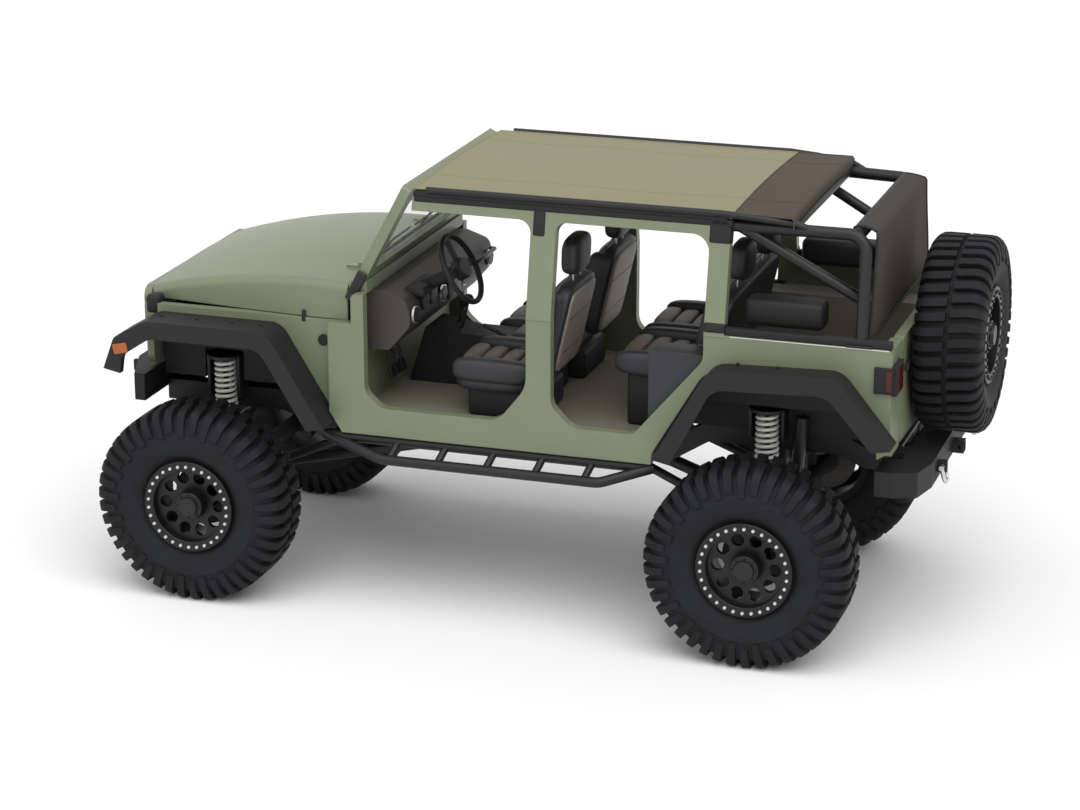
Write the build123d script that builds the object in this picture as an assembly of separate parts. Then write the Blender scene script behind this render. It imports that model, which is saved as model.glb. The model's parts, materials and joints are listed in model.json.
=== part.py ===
"""Lifted four-door open off-road vehicle: doors off, fabric bikini top, rear roll cage and spare wheel.

Millimetres. +X points forward, +Y to the vehicle's left, +Z up. The origin is on the ground, at the
middle of the vehicle's length and width. Each function makes one sub-part, and the table at the
end names the files.
"""

import os
from math import hypot

from build123d import *

# Overall layout
WHEELBASE = 3008
FRONT_OVERHANG = 576
REAR_OVERHANG = 1040
LENGTH = FRONT_OVERHANG + WHEELBASE + REAR_OVERHANG
FRONT_AXLE_X = LENGTH / 2 - FRONT_OVERHANG
REAR_AXLE_X = FRONT_AXLE_X - WHEELBASE
NOSE_X = LENGTH / 2
TAIL_X = -LENGTH / 2
SEAT_GAP = 0.3
RUNNING_GAP = 5

# Wheels and tyres
TYRE_RADIUS = 530
TYRE_WIDTH = 358
TYRE_LUGS = 28
SPARE_RADIUS = TYRE_RADIUS - 25
TRACK = 1740
RIM_RADIUS = 224
RIM_WIDTH = 250
RIM_WALL = 12
BEADLOCK_RADIUS = 250
BEADLOCK_INNER_RADIUS = 196
BEADLOCK_THICK = 34
WHEEL_DISH = 52
WHEEL_DISC = 26
WHEEL_HOLES = 10
WHEEL_HOLE_RADIUS = 33
WHEEL_HOLE_CIRCLE = 147
HUB_CAP_RADIUS = 74
HUB_RADIUS = 70
BRAKE_DISC_RADIUS = 168
BRAKE_DISC_THICK = 26
SPINDLE_RADIUS = 30
SPINDLE_GAP = 0.06
GROOVE_DEPTH = 36
GROOVE_HALF = 27

# Steering
KINGPIN_Y = 655
KINGPIN_RADIUS = 15
KNUCKLE_RADIUS = 38
KNUCKLE_HALF_HEIGHT = 100
ARM_FORWARD = 190
ARM_TIP_X = FRONT_AXLE_X + ARM_FORWARD
TIE_ROD_Z = TYRE_RADIUS + 120
TIE_ROD_RADIUS = 20
DRAG_LINK_Z = TIE_ROD_Z + 65
LINK_PIN_RADIUS = 12
LINK_PIN_GAP = 0.4
PITMAN_X = FRONT_AXLE_X + 160
PITMAN_Y = 400
PITMAN_TIP = (PITMAN_X + ARM_FORWARD, PITMAN_Y)
STEERING_WHEEL_RADIUS = 185
STEERING_WHEEL_RIM = 15
STEERING_WHEEL_TILT = 28
STEERING_WHEEL_X = 430
STEERING_WHEEL_RISE = 0.486
COLUMN_RADIUS = 34
COLUMN_LENGTH = 330

# Axles and suspension
AXLE_TUBE_RADIUS = 46
DIFF_RADIUS = 118
FRONT_DIFF_Y = 250
FRAME_RAIL_Y = 440
FRAME_RAIL_WIDTH = 80
LINK_BUSH = 25
LINK_REACH = AXLE_TUBE_RADIUS + LINK_BUSH + SEAT_GAP
SPRING_RADIUS = 62
SPRING_WIRE = 9
SPRING_COILS = 12
FRONT_SPRING_X = FRONT_AXLE_X - 30
REAR_SPRING_X = REAR_AXLE_X + 10
SPRING_Y = FRAME_RAIL_Y + FRAME_RAIL_WIDTH / 2 + SPRING_RADIUS + 8
SPRING_LOW_Z = TYRE_RADIUS + 135
SPRING_HIGH_Z = 1225

# Body stations along the length
HOOD_FRONT_X = FRONT_AXLE_X + 336
GRILLE_BACK_X = HOOD_FRONT_X + 2
HOOD_REAR_X = FRONT_AXLE_X - 812
COWL_FRONT_X = HOOD_REAR_X - 8
DOOR_FRONT_X = FRONT_AXLE_X - 920
DOOR_REAR_X = FRONT_AXLE_X - 1796
REAR_DOOR_FRONT_X = DOOR_REAR_X - 132
REAR_DOOR_REAR_X = FRONT_AXLE_X - 2722
C_PILLAR_REAR_X = REAR_DOOR_REAR_X - 104
TUB_REAR_X = REAR_AXLE_X - 666
CAGE_REAR_X = REAR_AXLE_X - 492
ARCH_HALF = TYRE_RADIUS - 25

# Body heights and widths
SILL_Z = 955
FLOOR_Z = 1045
FLOOR_THICK = 26
DOOR_SILL_Z = 1105
CARGO_FLOOR_Z = 1300
ARCH_TOP_Z = 1480
BELT_Z = 1668
ROOF_Z = 2225
BODY_HALF = 800
BODY_WALL = 56
ROOF_HALF = BODY_HALF - 110
FRONT_BODY_HALF = BODY_HALF - 58
GRILLE_HALF = FRONT_BODY_HALF - 82
HOOD_LOW_Z = 1546
HOOD_SKIN = 14

# Windshield
SHIELD_BASE_X = FRONT_AXLE_X - 848
SHIELD_BASE_Z = 1762
SHIELD_TOP_X = FRONT_AXLE_X - 1106
SHIELD_TOP_Z = ROOF_Z + 47
SHIELD_BASE_HALF = FRONT_BODY_HALF - 4
SHIELD_TOP_HALF = ROOF_HALF + 4
SHIELD_BORDER = 84
SHIELD_THICK = 52
GLASS_THICK = 6

# Flares, bumpers and tubes
FLARE_OUT_Y = BODY_HALF + 152
FLARE_SKIN = 12
FLARE_FACE = 96
FRONT_BUMPER_LOW_Z = 1005
FRONT_BUMPER_HIGH_Z = 1150
REAR_BUMPER_LOW_Z = 905
REAR_BUMPER_HIGH_Z = 1036
FRONT_BUMPER_BACK_X = FRONT_AXLE_X + 342
REAR_BUMPER_FRONT_X = TUB_REAR_X - 14
CAGE_TUBE = 31
SLIDER_TUBE = 30
GATE_HALF = BODY_HALF - 240
GATE_LOW_Z = 1120
GATE_THICK = 50
GATE_HINGE_Y = -(GATE_HALF + 18)
GATE_HINGE_X = TUB_REAR_X - 22
GATE_HINGE_HEIGHTS = (GATE_LOW_Z + 120, BELT_Z - 90)
GATE_PIN = 8
REAR_BUMPER_BACK_X = REAR_AXLE_X - 838
REAR_LUG_X = REAR_BUMPER_BACK_X - 24
SHACKLE_Y = 400
SHACKLE_Z = FRONT_BUMPER_HIGH_Z - 75
SHACKLE_BORE = 13
REAR_SHACKLE_Z = REAR_BUMPER_HIGH_Z - 66
HITCH_Z = REAR_BUMPER_LOW_Z + 45
HITCH_OUT = 32
HITCH_IN = 25.5
HITCH_PIN = 8.3
TOP_REAR_X = REAR_AXLE_X - 120

# Flare outlines, front lip to rear lip: x from the axle, z, corner radius
FRONT_FLARE = [
    (TYRE_RADIUS - 40, 1225, 0),
    (TYRE_RADIUS - 105, 1400, 60),
    (250, 1502, 90),
    (-440, 1502, 110),
    (-TYRE_RADIUS - 215, 1010, 0),
]
REAR_FLARE = [
    (TYRE_RADIUS - 25, 1035, 0),
    (225, 1525, 120),
    (-420, 1545, 120),
    (-TYRE_RADIUS - 170, 1205, 0),
]

# Frame, engine and lamps
FRONT_RAIL_LOW_Z = 930
RAIL_HEIGHT = 112
ENGINE_HALF = 290
LAMP_Y = 480
LAMP_Z = 1430
LAMP_RADIUS = 96

# Hood and its hinge
HOOD_EDGE = 46
HOOD_HINGE_X = HOOD_REAR_X
HOOD_HINGE_Y = 500
HOOD_HINGE_Z = SHIELD_BASE_Z + 24
HOOD_HINGE_HALF = 20
HOOD_PIN = 6
# x, half width, height of the side crease, crown above the crease
HOOD_STATIONS = [
    (HOOD_FRONT_X, FRONT_BODY_HALF - 102, 1606, 26),
    (FRONT_AXLE_X + 120, FRONT_BODY_HALF - 74, 1664, 34),
    (HOOD_REAR_X, FRONT_BODY_HALF, 1742, 40),
]

# Cabin
CONSOLE_HALF = 110
FRONT_SEAT_X = 410
FRONT_SEAT_WIDTH = BODY_HALF - 300
FRONT_SEAT_Y = CONSOLE_HALF + 20 + FRONT_SEAT_WIDTH / 2
FRONT_CUSHION = 170
REAR_SEAT_X = -440
REAR_CUSHION = 130
BENCH_WIDTH = 2 * (BODY_HALF - 270)

# Places worked out from the sizes above
WHEEL_PLACES = {
    "front_left": (FRONT_AXLE_X, 1),
    "front_right": (FRONT_AXLE_X, -1),
    "rear_left": (REAR_AXLE_X, 1),
    "rear_right": (REAR_AXLE_X, -1),
}
HUB_INNER_Y = TRACK / 2 - RIM_WIDTH / 2 + 30
SPINDLE_END_Y = TRACK / 2 + RIM_WIDTH / 2 + BEADLOCK_THICK - WHEEL_DISH - WHEEL_DISC - 30
SPARE_X = TAIL_X + TYRE_WIDTH / 2
SPARE_Z = REAR_BUMPER_HIGH_Z + 14 + SPARE_RADIUS
HUB_SEAT_DEPTH = -(RIM_WIDTH / 2 + BEADLOCK_THICK - WHEEL_DISH - WHEEL_DISC - 14 - SEAT_GAP)
LEAN_LENGTH = hypot(BODY_HALF - ROOF_HALF, ROOF_Z - BELT_Z)
LEAN_NORMAL = (0, (ROOF_Z - BELT_Z) / LEAN_LENGTH, (BODY_HALF - ROOF_HALF) / LEAN_LENGTH)
SHIELD_LENGTH = hypot(SHIELD_BASE_X - SHIELD_TOP_X, SHIELD_TOP_Z - SHIELD_BASE_Z)
SHIELD_NORMAL = (
    (SHIELD_TOP_Z - SHIELD_BASE_Z) / SHIELD_LENGTH,
    0,
    (SHIELD_BASE_X - SHIELD_TOP_X) / SHIELD_LENGTH,
)
SHIELD_PLANE = Plane(origin=(SHIELD_BASE_X, 0, SHIELD_BASE_Z), x_dir=(0, 1, 0), z_dir=SHIELD_NORMAL)
SEAT_TOP_Z = FLOOR_Z + 125 + FRONT_CUSHION
STEERING_WHEEL_Z = SEAT_TOP_Z + STEERING_WHEEL_RISE * (ROOF_Z - SEAT_TOP_Z)
STEERING_TURN = Rot(0, STEERING_WHEEL_TILT - 90, 0) * Rot(0, 0, 90)
STEERING_PLACE = Pos(STEERING_WHEEL_X, FRONT_SEAT_Y, STEERING_WHEEL_Z) * STEERING_TURN


def outline(rows):
    """A face from (across, up, corner radius) rows."""
    points = [(row[0], row[1]) for row in rows]
    return make_face(FilletPolyline(*points, radius=[row[2] for row in rows], close=True))


def side_plate(rows, y_low, y_high):
    """A plate drawn in side view, (x, z, corner radius), between two y values."""
    plane = Plane(origin=(0, y_high, 0), x_dir=(1, 0, 0), z_dir=(0, -1, 0))
    return extrude(plane * outline(rows), y_high - y_low)


def plan_plate(rows, z_low, z_high):
    """A plate drawn from above, (x, y, corner radius), between two heights."""
    return extrude(Pos(0, 0, z_low) * outline(rows), z_high - z_low)


def front_plate(rows, x_low, x_high):
    """A plate drawn from the front, (y, z, corner radius), between two x values."""
    plane = Plane(origin=(x_low, 0, 0), x_dir=(0, 1, 0), z_dir=(1, 0, 0))
    return extrude(plane * outline(rows), x_high - x_low)


def block(x_range, y_range, z_range):
    """A box from three (low, high) ranges."""
    sizes = [high - low for low, high in (x_range, y_range, z_range)]
    middle = [(high + low) / 2 for low, high in (x_range, y_range, z_range)]
    return Pos(*middle) * Box(*sizes)


def rod(start, end, radius):
    """A round bar between two points."""
    line = Vector(*end) - Vector(*start)
    plane = Plane(origin=start, z_dir=line.normalized())
    return extrude(plane * Circle(radius), line.length)


def pipe(points, radius, bend):
    """A round tube along straight runs joined by arcs."""
    path = FilletPolyline(*points, radius=bend)
    section = Plane(origin=path @ 0, z_dir=path % 0) * Circle(radius)
    return sweep(section, path=path)


def right_of(shape):
    """The mirror image on the vehicle's right."""
    return mirror(shape, about=Plane.XZ)


def pair(shape):
    """A left piece and its mirror image, as two solids."""
    return [shape, right_of(shape)]


def spun(rows):
    """A solid turned about the wheel's axis from (radius, along the axle, corner radius) rows."""
    face = Plane.XY * outline(rows)
    return revolve(face, axis=Axis.Y)


# Wheels: each is made round the origin, with +Y pointing away from the vehicle.


def tyre_section(radius, y):
    """Many-sided section of a tyre at a distance along the axle."""
    plane = Plane(origin=(0, y, 0), x_dir=(1, 0, 0), z_dir=(0, 1, 0))
    return plane * RegularPolygon(radius, TYRE_LUGS)


def tyre(radius=TYRE_RADIUS):
    """Mud tyre: faceted carcass with cross grooves that leave the lugs standing."""
    half = TYRE_WIDTH / 2
    wall = radius - RIM_RADIUS
    # radius, distance along the axle
    rows = [
        (BEADLOCK_RADIUS + 4, RIM_WIDTH / 2),
        (RIM_RADIUS + 0.51 * wall, half),
        (radius - 26, half * 0.94),
        (radius, half * 0.72),
    ]
    sections = [tyre_section(r, -y) for r, y in rows] + [tyre_section(r, y) for r, y in reversed(rows)]
    body = loft(sections, ruled=True)
    body -= Rot(90, 0, 0) * Cylinder(RIM_RADIUS + SEAT_GAP, 2 * TYRE_WIDTH)
    groove_rows = [(radius - GROOVE_DEPTH, 0, 0), (radius + 2, -GROOVE_HALF, 0), (radius + 2, GROOVE_HALF, 0)]
    plane = Plane(origin=(0, -TYRE_WIDTH, 0), x_dir=(1, 0, 0), z_dir=(0, 1, 0))
    groove = extrude(plane * outline(groove_rows), 2 * TYRE_WIDTH)
    pitch = 360 / TYRE_LUGS
    return body - [Rot(0, pitch * (step + 0.5), 0) * groove for step in range(TYRE_LUGS)]


def rim():
    """Beadlock wheel: barrel, clamp ring, dished disc with round holes and a hub cap."""
    half = RIM_WIDTH / 2
    ring_out = half + BEADLOCK_THICK
    disc_out = ring_out - WHEEL_DISH
    barrel = [
        (RIM_RADIUS - RIM_WALL, -half, 0),
        (RIM_RADIUS, -half, 0),
        (RIM_RADIUS, half + SEAT_GAP, 0),
        (BEADLOCK_RADIUS, half + SEAT_GAP, 0),
        (BEADLOCK_RADIUS, ring_out, 8),
        (BEADLOCK_INNER_RADIUS, ring_out, 6),
        (BEADLOCK_INNER_RADIUS, disc_out, 0),
        (HUB_CAP_RADIUS + 8, disc_out - 14, 0),
        (HUB_CAP_RADIUS, ring_out - 12, 6),
        (0, ring_out - 4, 0),
        (0, disc_out - WHEEL_DISC - 14, 0),
        (HUB_CAP_RADIUS + 8, disc_out - WHEEL_DISC - 14, 0),
        (RIM_RADIUS - RIM_WALL, disc_out - WHEEL_DISC, 0),
    ]
    body = spun(barrel)
    for step in range(WHEEL_HOLES):
        angle = 360 / WHEEL_HOLES * step
        hole = Rot(0, angle, 0) * Pos(WHEEL_HOLE_CIRCLE, disc_out, 0) * Rot(90, 0, 0)
        body -= hole * Cylinder(WHEEL_HOLE_RADIUS, WHEEL_DISC * 4)
    return body


def hub():
    """Wheel hub and brake disc, with the bore that turns on the spindle."""
    ring_out = RIM_WIDTH / 2 + BEADLOCK_THICK
    seat_y = ring_out - WHEEL_DISH - WHEEL_DISC - 14 - SEAT_GAP
    disc_y = -RIM_WIDTH / 2 + 30
    rows = [
        (SPINDLE_RADIUS + SPINDLE_GAP, disc_y, 0),
        (BRAKE_DISC_RADIUS, disc_y, 0),
        (BRAKE_DISC_RADIUS, disc_y + BRAKE_DISC_THICK, 0),
        (HUB_RADIUS + 14, disc_y + BRAKE_DISC_THICK, 0),
        (HUB_RADIUS, seat_y, 0),
        (SPINDLE_RADIUS + SPINDLE_GAP, seat_y, 0),
    ]
    return spun(rows)


def place_wheel(shape, corner):
    """A wheel piece at one corner, with its outer face away from the vehicle."""
    axle_x, side = WHEEL_PLACES[corner]
    turned = shape if side > 0 else Rot(0, 0, 180) * shape
    return Pos(axle_x, side * TRACK / 2, TYRE_RADIUS) * turned


def place_spare(shape):
    """A wheel piece on the tailgate, with its outer face to the rear."""
    return Pos(SPARE_X, 0, SPARE_Z) * (Rot(0, 0, 90) * shape)


# Running gear


def knuckle(side):
    """Steering knuckle: post on the kingpin axis, spindle and steering arm."""
    post = Pos(FRONT_AXLE_X, KINGPIN_Y, TYRE_RADIUS)
    pin_height = 2 * (KNUCKLE_HALF_HEIGHT + 26)
    body = post * Cylinder(KNUCKLE_RADIUS, 2 * KNUCKLE_HALF_HEIGHT)
    body += post * Cylinder(KINGPIN_RADIUS, pin_height)
    flange_y = HUB_INNER_Y - RUNNING_GAP
    centre = (FRONT_AXLE_X, KINGPIN_Y, TYRE_RADIUS)
    body += rod(centre, (FRONT_AXLE_X, flange_y, TYRE_RADIUS), 52)
    body += rod(centre, (FRONT_AXLE_X, SPINDLE_END_Y, TYRE_RADIUS), SPINDLE_RADIUS)
    tip = (FRONT_AXLE_X + ARM_FORWARD, KINGPIN_Y)
    arm_rows = [
        (FRONT_AXLE_X, KINGPIN_Y + 30, 0),
        (FRONT_AXLE_X, KINGPIN_Y - 30, 0),
        (tip[0] - 10, tip[1] - 24, 14),
        (tip[0] + 24, tip[1] - 18, 14),
        (tip[0] + 20, tip[1] + 24, 14),
    ]
    body += plan_plate(arm_rows, TIE_ROD_Z - 62, TIE_ROD_Z - 26)
    pin_top = DRAG_LINK_Z + 24 if side < 0 else TIE_ROD_Z + 24
    body += rod((*tip, TIE_ROD_Z - 30), (*tip, pin_top), LINK_PIN_RADIUS)
    return body if side > 0 else right_of(body)


def linkage_bar(start, end, radius):
    """A steering rod with an eye on each end, whose holes clear the pins."""
    eye_height = 2 * radius + 2
    bar = rod(start, end, radius)
    for point in (start, end):
        bar += Pos(*point) * Cylinder(radius + 10, eye_height)
    for point in (start, end):
        bar -= Pos(*point) * Cylinder(LINK_PIN_RADIUS + LINK_PIN_GAP, eye_height * 2)
    return bar


def tie_rod():
    return linkage_bar((ARM_TIP_X, KINGPIN_Y, TIE_ROD_Z), (ARM_TIP_X, -KINGPIN_Y, TIE_ROD_Z), TIE_ROD_RADIUS)


def drag_link():
    start = (*PITMAN_TIP, DRAG_LINK_Z)
    return linkage_bar(start, (ARM_TIP_X, -KINGPIN_Y, DRAG_LINK_Z), TIE_ROD_RADIUS - 2)


def pitman_arm():
    """Arm under the steering box, with the pin for the drag link."""
    low, high = DRAG_LINK_Z + 28, DRAG_LINK_Z + 52
    rows = [
        (PITMAN_X - 34, PITMAN_Y - 34, 30),
        (PITMAN_X + 10, PITMAN_Y - 40, 30),
        (PITMAN_TIP[0] + 22, PITMAN_TIP[1] - 22, 20),
        (PITMAN_TIP[0] + 16, PITMAN_TIP[1] + 26, 20),
        (PITMAN_X - 30, PITMAN_Y + 36, 30),
    ]
    arm = plan_plate(rows, low, high)
    arm += rod((*PITMAN_TIP, DRAG_LINK_Z - 24), (*PITMAN_TIP, low + 1), LINK_PIN_RADIUS)
    arm += rod((PITMAN_X, PITMAN_Y, high - 1), (PITMAN_X, PITMAN_Y, high + 40), 20)
    return arm


def steering_box():
    """Gear box on the left frame rail, with the bore for the sector shaft."""
    low = DRAG_LINK_Z + 52 + RUNNING_GAP
    rows = [
        (PITMAN_X - 70, PITMAN_Y - 75, 30),
        (PITMAN_X + 70, PITMAN_Y - 75, 30),
        (PITMAN_X + 70, PITMAN_Y + 60, 30),
        (PITMAN_X - 70, PITMAN_Y + 60, 30),
    ]
    box = plan_plate(rows, low, FRONT_RAIL_LOW_Z)
    return box - Pos(PITMAN_X, PITMAN_Y, low) * Cylinder(20.3, 100)


def chassis_frame():
    """Ladder frame: two rails with kick-ups over the axles, crossmembers and spring towers."""
    inner = FRAME_RAIL_Y - FRAME_RAIL_WIDTH / 2
    outer = FRAME_RAIL_Y + FRAME_RAIL_WIDTH / 2
    low = FRONT_RAIL_LOW_Z - 62
    # x, underside z, corner radius, from the nose to the tail
    stations = [
        (FRONT_BUMPER_BACK_X - SEAT_GAP, FRONT_RAIL_LOW_Z, 0),
        (FRONT_AXLE_X - 330, FRONT_RAIL_LOW_Z, 60),
        (FRONT_AXLE_X - 520, low, 60),
        (REAR_AXLE_X + 540, low, 60),
        (REAR_AXLE_X + 330, FRONT_RAIL_LOW_Z + 70, 60),
        (REAR_AXLE_X - 360, FRONT_RAIL_LOW_Z + 70, 60),
        (REAR_AXLE_X - 470, FRONT_RAIL_LOW_Z + 10, 60),
        (REAR_BUMPER_FRONT_X + SEAT_GAP, FRONT_RAIL_LOW_Z + 10, 0),
    ]
    top = [(x, z + RAIL_HEIGHT, r) for x, z, r in reversed(stations)]
    rail = side_plate(stations + top, inner, outer)
    frame = rail + right_of(rail)
    # crossmember x, height of its middle, radius
    crossmembers = [
        (FRONT_AXLE_X + 300, FRONT_RAIL_LOW_Z + 56, 40),
        (FRONT_AXLE_X - 700, low + 50, 36),
        (REAR_AXLE_X + 1050, low + 66, 36),
        (REAR_AXLE_X + 250, FRONT_RAIL_LOW_Z + 126, 36),
        (TUB_REAR_X + 90, FRONT_RAIL_LOW_Z + 66, 44),
    ]
    for x, z, radius in crossmembers:
        frame += rod((x, -inner - 5, z), (x, inner + 5, z), radius)
    for side in (1, -1):
        mount_y = sorted((side * (ENGINE_HALF + SEAT_GAP), side * (inner + 2)))
        frame += block((FRONT_AXLE_X - 290, FRONT_AXLE_X - 210), mount_y, (996, 1036))
    for spring_x, seat_z in ((FRONT_SPRING_X, FRONT_RAIL_LOW_Z), (REAR_SPRING_X, FRONT_RAIL_LOW_Z + 70)):
        for side in (1, -1):
            tower = Pos(spring_x, side * SPRING_Y, (seat_z + SPRING_HIGH_Z) / 2 + 60)
            frame -= tower * Cylinder(SPRING_RADIUS + 14, SPRING_HIGH_Z - seat_z + 600)
    for spring_x, rail_top in (
        (FRONT_SPRING_X, FRONT_RAIL_LOW_Z + RAIL_HEIGHT),
        (REAR_SPRING_X, FRONT_RAIL_LOW_Z + 70 + RAIL_HEIGHT),
    ):
        for side in (1, -1):
            cup = Pos(spring_x, side * SPRING_Y, SPRING_HIGH_Z + SEAT_GAP + 8)
            frame += cup * Cylinder(SPRING_RADIUS + 30, 16)
            for end in (1, -1):
                leg_x = spring_x + end * (SPRING_RADIUS + 22)
                leg_y = sorted((side * (outer - 12), side * (SPRING_Y + 30)))
                frame += block((leg_x - 8, leg_x + 8), leg_y, (rail_top - 40, SPRING_HIGH_Z + 10))
    return frame


def front_axle():
    """Solid front axle: tube, differential, spring seats and the yokes that hold the kingpins."""
    end_y = KINGPIN_Y - KNUCKLE_RADIUS - RUNNING_GAP
    axle = rod((FRONT_AXLE_X, -end_y, TYRE_RADIUS), (FRONT_AXLE_X, end_y, TYRE_RADIUS), AXLE_TUBE_RADIUS)
    axle += Pos(FRONT_AXLE_X, FRONT_DIFF_Y, TYRE_RADIUS) * Sphere(DIFF_RADIUS)
    axle += rod(
        (FRONT_AXLE_X, FRONT_DIFF_Y, TYRE_RADIUS),
        (FRONT_AXLE_X - 210, FRONT_DIFF_Y, TYRE_RADIUS + 26),
        46,
    )
    ear_low = KNUCKLE_HALF_HEIGHT + RUNNING_GAP
    for side in (1, -1):
        y_back = sorted((side * (end_y - 26), side * end_y))
        heights = (TYRE_RADIUS - ear_low - 22, TYRE_RADIUS + ear_low + 22)
        axle += block((FRONT_AXLE_X - 40, FRONT_AXLE_X + 40), y_back, heights)
        for up in (1, -1):
            ear_z = sorted((TYRE_RADIUS + up * ear_low, TYRE_RADIUS + up * (ear_low + 22)))
            y_ear = sorted((side * (end_y - 26), side * (KINGPIN_Y + 12)))
            axle += block((FRONT_AXLE_X - 34, FRONT_AXLE_X + 34), y_ear, ear_z)
            axle += Pos(FRONT_AXLE_X, side * (KINGPIN_Y + 6), sum(ear_z) / 2) * Cylinder(34, 22)
        hole = Pos(FRONT_AXLE_X, side * KINGPIN_Y, TYRE_RADIUS)
        axle -= hole * Cylinder(KINGPIN_RADIUS + SPINDLE_GAP, 4 * ear_low)
        axle += spring_seat(FRONT_SPRING_X, side)
        notch_y = sorted((side * (end_y - 40), side * (end_y + 1)))
        notch_z = (TIE_ROD_Z - 62 - RUNNING_GAP, TIE_ROD_Z - 26 + RUNNING_GAP)
        axle -= block((FRONT_AXLE_X - 2, FRONT_AXLE_X + 60), notch_y, notch_z)
    return axle


def spring_seat(spring_x, side):
    """Perch that carries a coil spring on the axle tube."""
    seat_z = SPRING_LOW_Z - SEAT_GAP
    seat = Pos(spring_x, side * SPRING_Y, seat_z - 7) * Cylinder(SPRING_RADIUS + 16, 14)
    post_y = (side * SPRING_Y - 34, side * SPRING_Y + 34)
    return seat + block((spring_x - 8, spring_x + 30), post_y, (TYRE_RADIUS + 10, seat_z - 4))


def rear_axle():
    """Solid rear axle: tube, differential, spring seats and the spindles that carry the hubs."""
    flange_y = HUB_INNER_Y - RUNNING_GAP
    axle = rod((REAR_AXLE_X, -flange_y, TYRE_RADIUS), (REAR_AXLE_X, flange_y, TYRE_RADIUS), AXLE_TUBE_RADIUS)
    tips = [(REAR_AXLE_X, side * SPINDLE_END_Y, TYRE_RADIUS) for side in (-1, 1)]
    axle += rod(*tips, SPINDLE_RADIUS)
    axle += Pos(REAR_AXLE_X, 0, TYRE_RADIUS) * Sphere(DIFF_RADIUS + 10)
    axle += rod((REAR_AXLE_X, 0, TYRE_RADIUS), (REAR_AXLE_X + 230, 0, TYRE_RADIUS + 30), 48)
    for side in (1, -1):
        axle += spring_seat(REAR_SPRING_X, side)
        plate_y = sorted((side * (flange_y - 14), side * flange_y))
        axle += rod((REAR_AXLE_X, plate_y[0], TYRE_RADIUS), (REAR_AXLE_X, plate_y[1], TYRE_RADIUS), 78)
    return axle


def coil_spring(spring_x):
    """Coil-over: wire turns stacked on a damper tube, between the axle seat and the tower."""
    height = SPRING_HIGH_Z - SPRING_LOW_Z
    pitch = height / SPRING_COILS
    damper = Cylinder(SPRING_RADIUS - 2 * SPRING_WIRE + 4, height)
    spring = Pos(spring_x, SPRING_Y, SPRING_LOW_Z + height / 2) * damper
    for turn in range(SPRING_COILS):
        middle = SPRING_LOW_Z + pitch * (turn + 0.5)
        spring += Pos(spring_x, SPRING_Y, middle) * Torus(SPRING_RADIUS - SPRING_WIRE, SPRING_WIRE)
    return spring


def coil_springs():
    return pair(coil_spring(FRONT_SPRING_X)) + pair(coil_spring(REAR_SPRING_X))


def suspension_links():
    """Lower links from each axle to the frame, with their bushes."""
    # axle x, axle-side offset and y, frame-side offset and y
    rows = [
        (FRONT_AXLE_X, -LINK_REACH, 400, -960, 330),
        (REAR_AXLE_X, LINK_REACH, 400, 980, 330),
    ]
    links = []
    for axle_x, near, near_y, far, far_y in rows:
        start = (axle_x + near, near_y, TYRE_RADIUS)
        end = (axle_x + far, far_y, FRONT_RAIL_LOW_Z - 62 + 40)
        link = rod(start, end, LINK_BUSH - 1)
        rail_y = FRAME_RAIL_Y - FRAME_RAIL_WIDTH / 2 - SEAT_GAP
        link += rod((start[0], near_y - 30, start[2]), (start[0], near_y + 30, start[2]), LINK_BUSH)
        link += rod((end[0], far_y - 30, end[2]), (end[0], rail_y, end[2]), LINK_BUSH)
        links += pair(link)
    return links


def engine_block():
    """Engine as one plain mass between the front rails."""
    rows = [
        (COWL_FRONT_X + 60, FRONT_RAIL_LOW_Z + 60, 20),
        (FRONT_AXLE_X + 150, FRONT_RAIL_LOW_Z + 60, 60),
        (FRONT_AXLE_X + 170, HOOD_LOW_Z - 30, 60),
        (COWL_FRONT_X + 60, HOOD_LOW_Z - 10, 40),
    ]
    return side_plate(rows, -ENGINE_HALF, ENGINE_HALF)


def gearbox():
    """Gearbox and transfer case under the floor, behind the engine."""
    floor_under = FLOOR_Z - FLOOR_THICK - 10
    rows = [
        (COWL_FRONT_X + 60 - SEAT_GAP, FRONT_RAIL_LOW_Z + 30, 0),
        (COWL_FRONT_X + 60 - SEAT_GAP, floor_under + 8, 0),
        (FRONT_AXLE_X - 1900, floor_under, 10),
        (FRONT_AXLE_X - 1900, 800, 40),
        (FRONT_AXLE_X - 1560, 790, 40),
        (FRONT_AXLE_X - 1460, 850, 40),
    ]
    case = side_plate(rows, -150, 150)
    return case + block((FRONT_AXLE_X - 1660, FRONT_AXLE_X - 1603), (140, 232), (805, 905))


def drive_shafts():
    """Front and rear propeller shafts between the transfer case and the axles."""
    front_pinion = (FRONT_AXLE_X - 222, FRONT_DIFF_Y, TYRE_RADIUS + 28)
    rear_pinion = (REAR_AXLE_X + 247, 0, TYRE_RADIUS + 33)
    front = rod(front_pinion, (FRONT_AXLE_X - 1596, 190, 855), 30)
    rear = rod(rear_pinion, (FRONT_AXLE_X - 1910, 0, 860), 34)
    return [front, rear]


# Body


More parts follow.
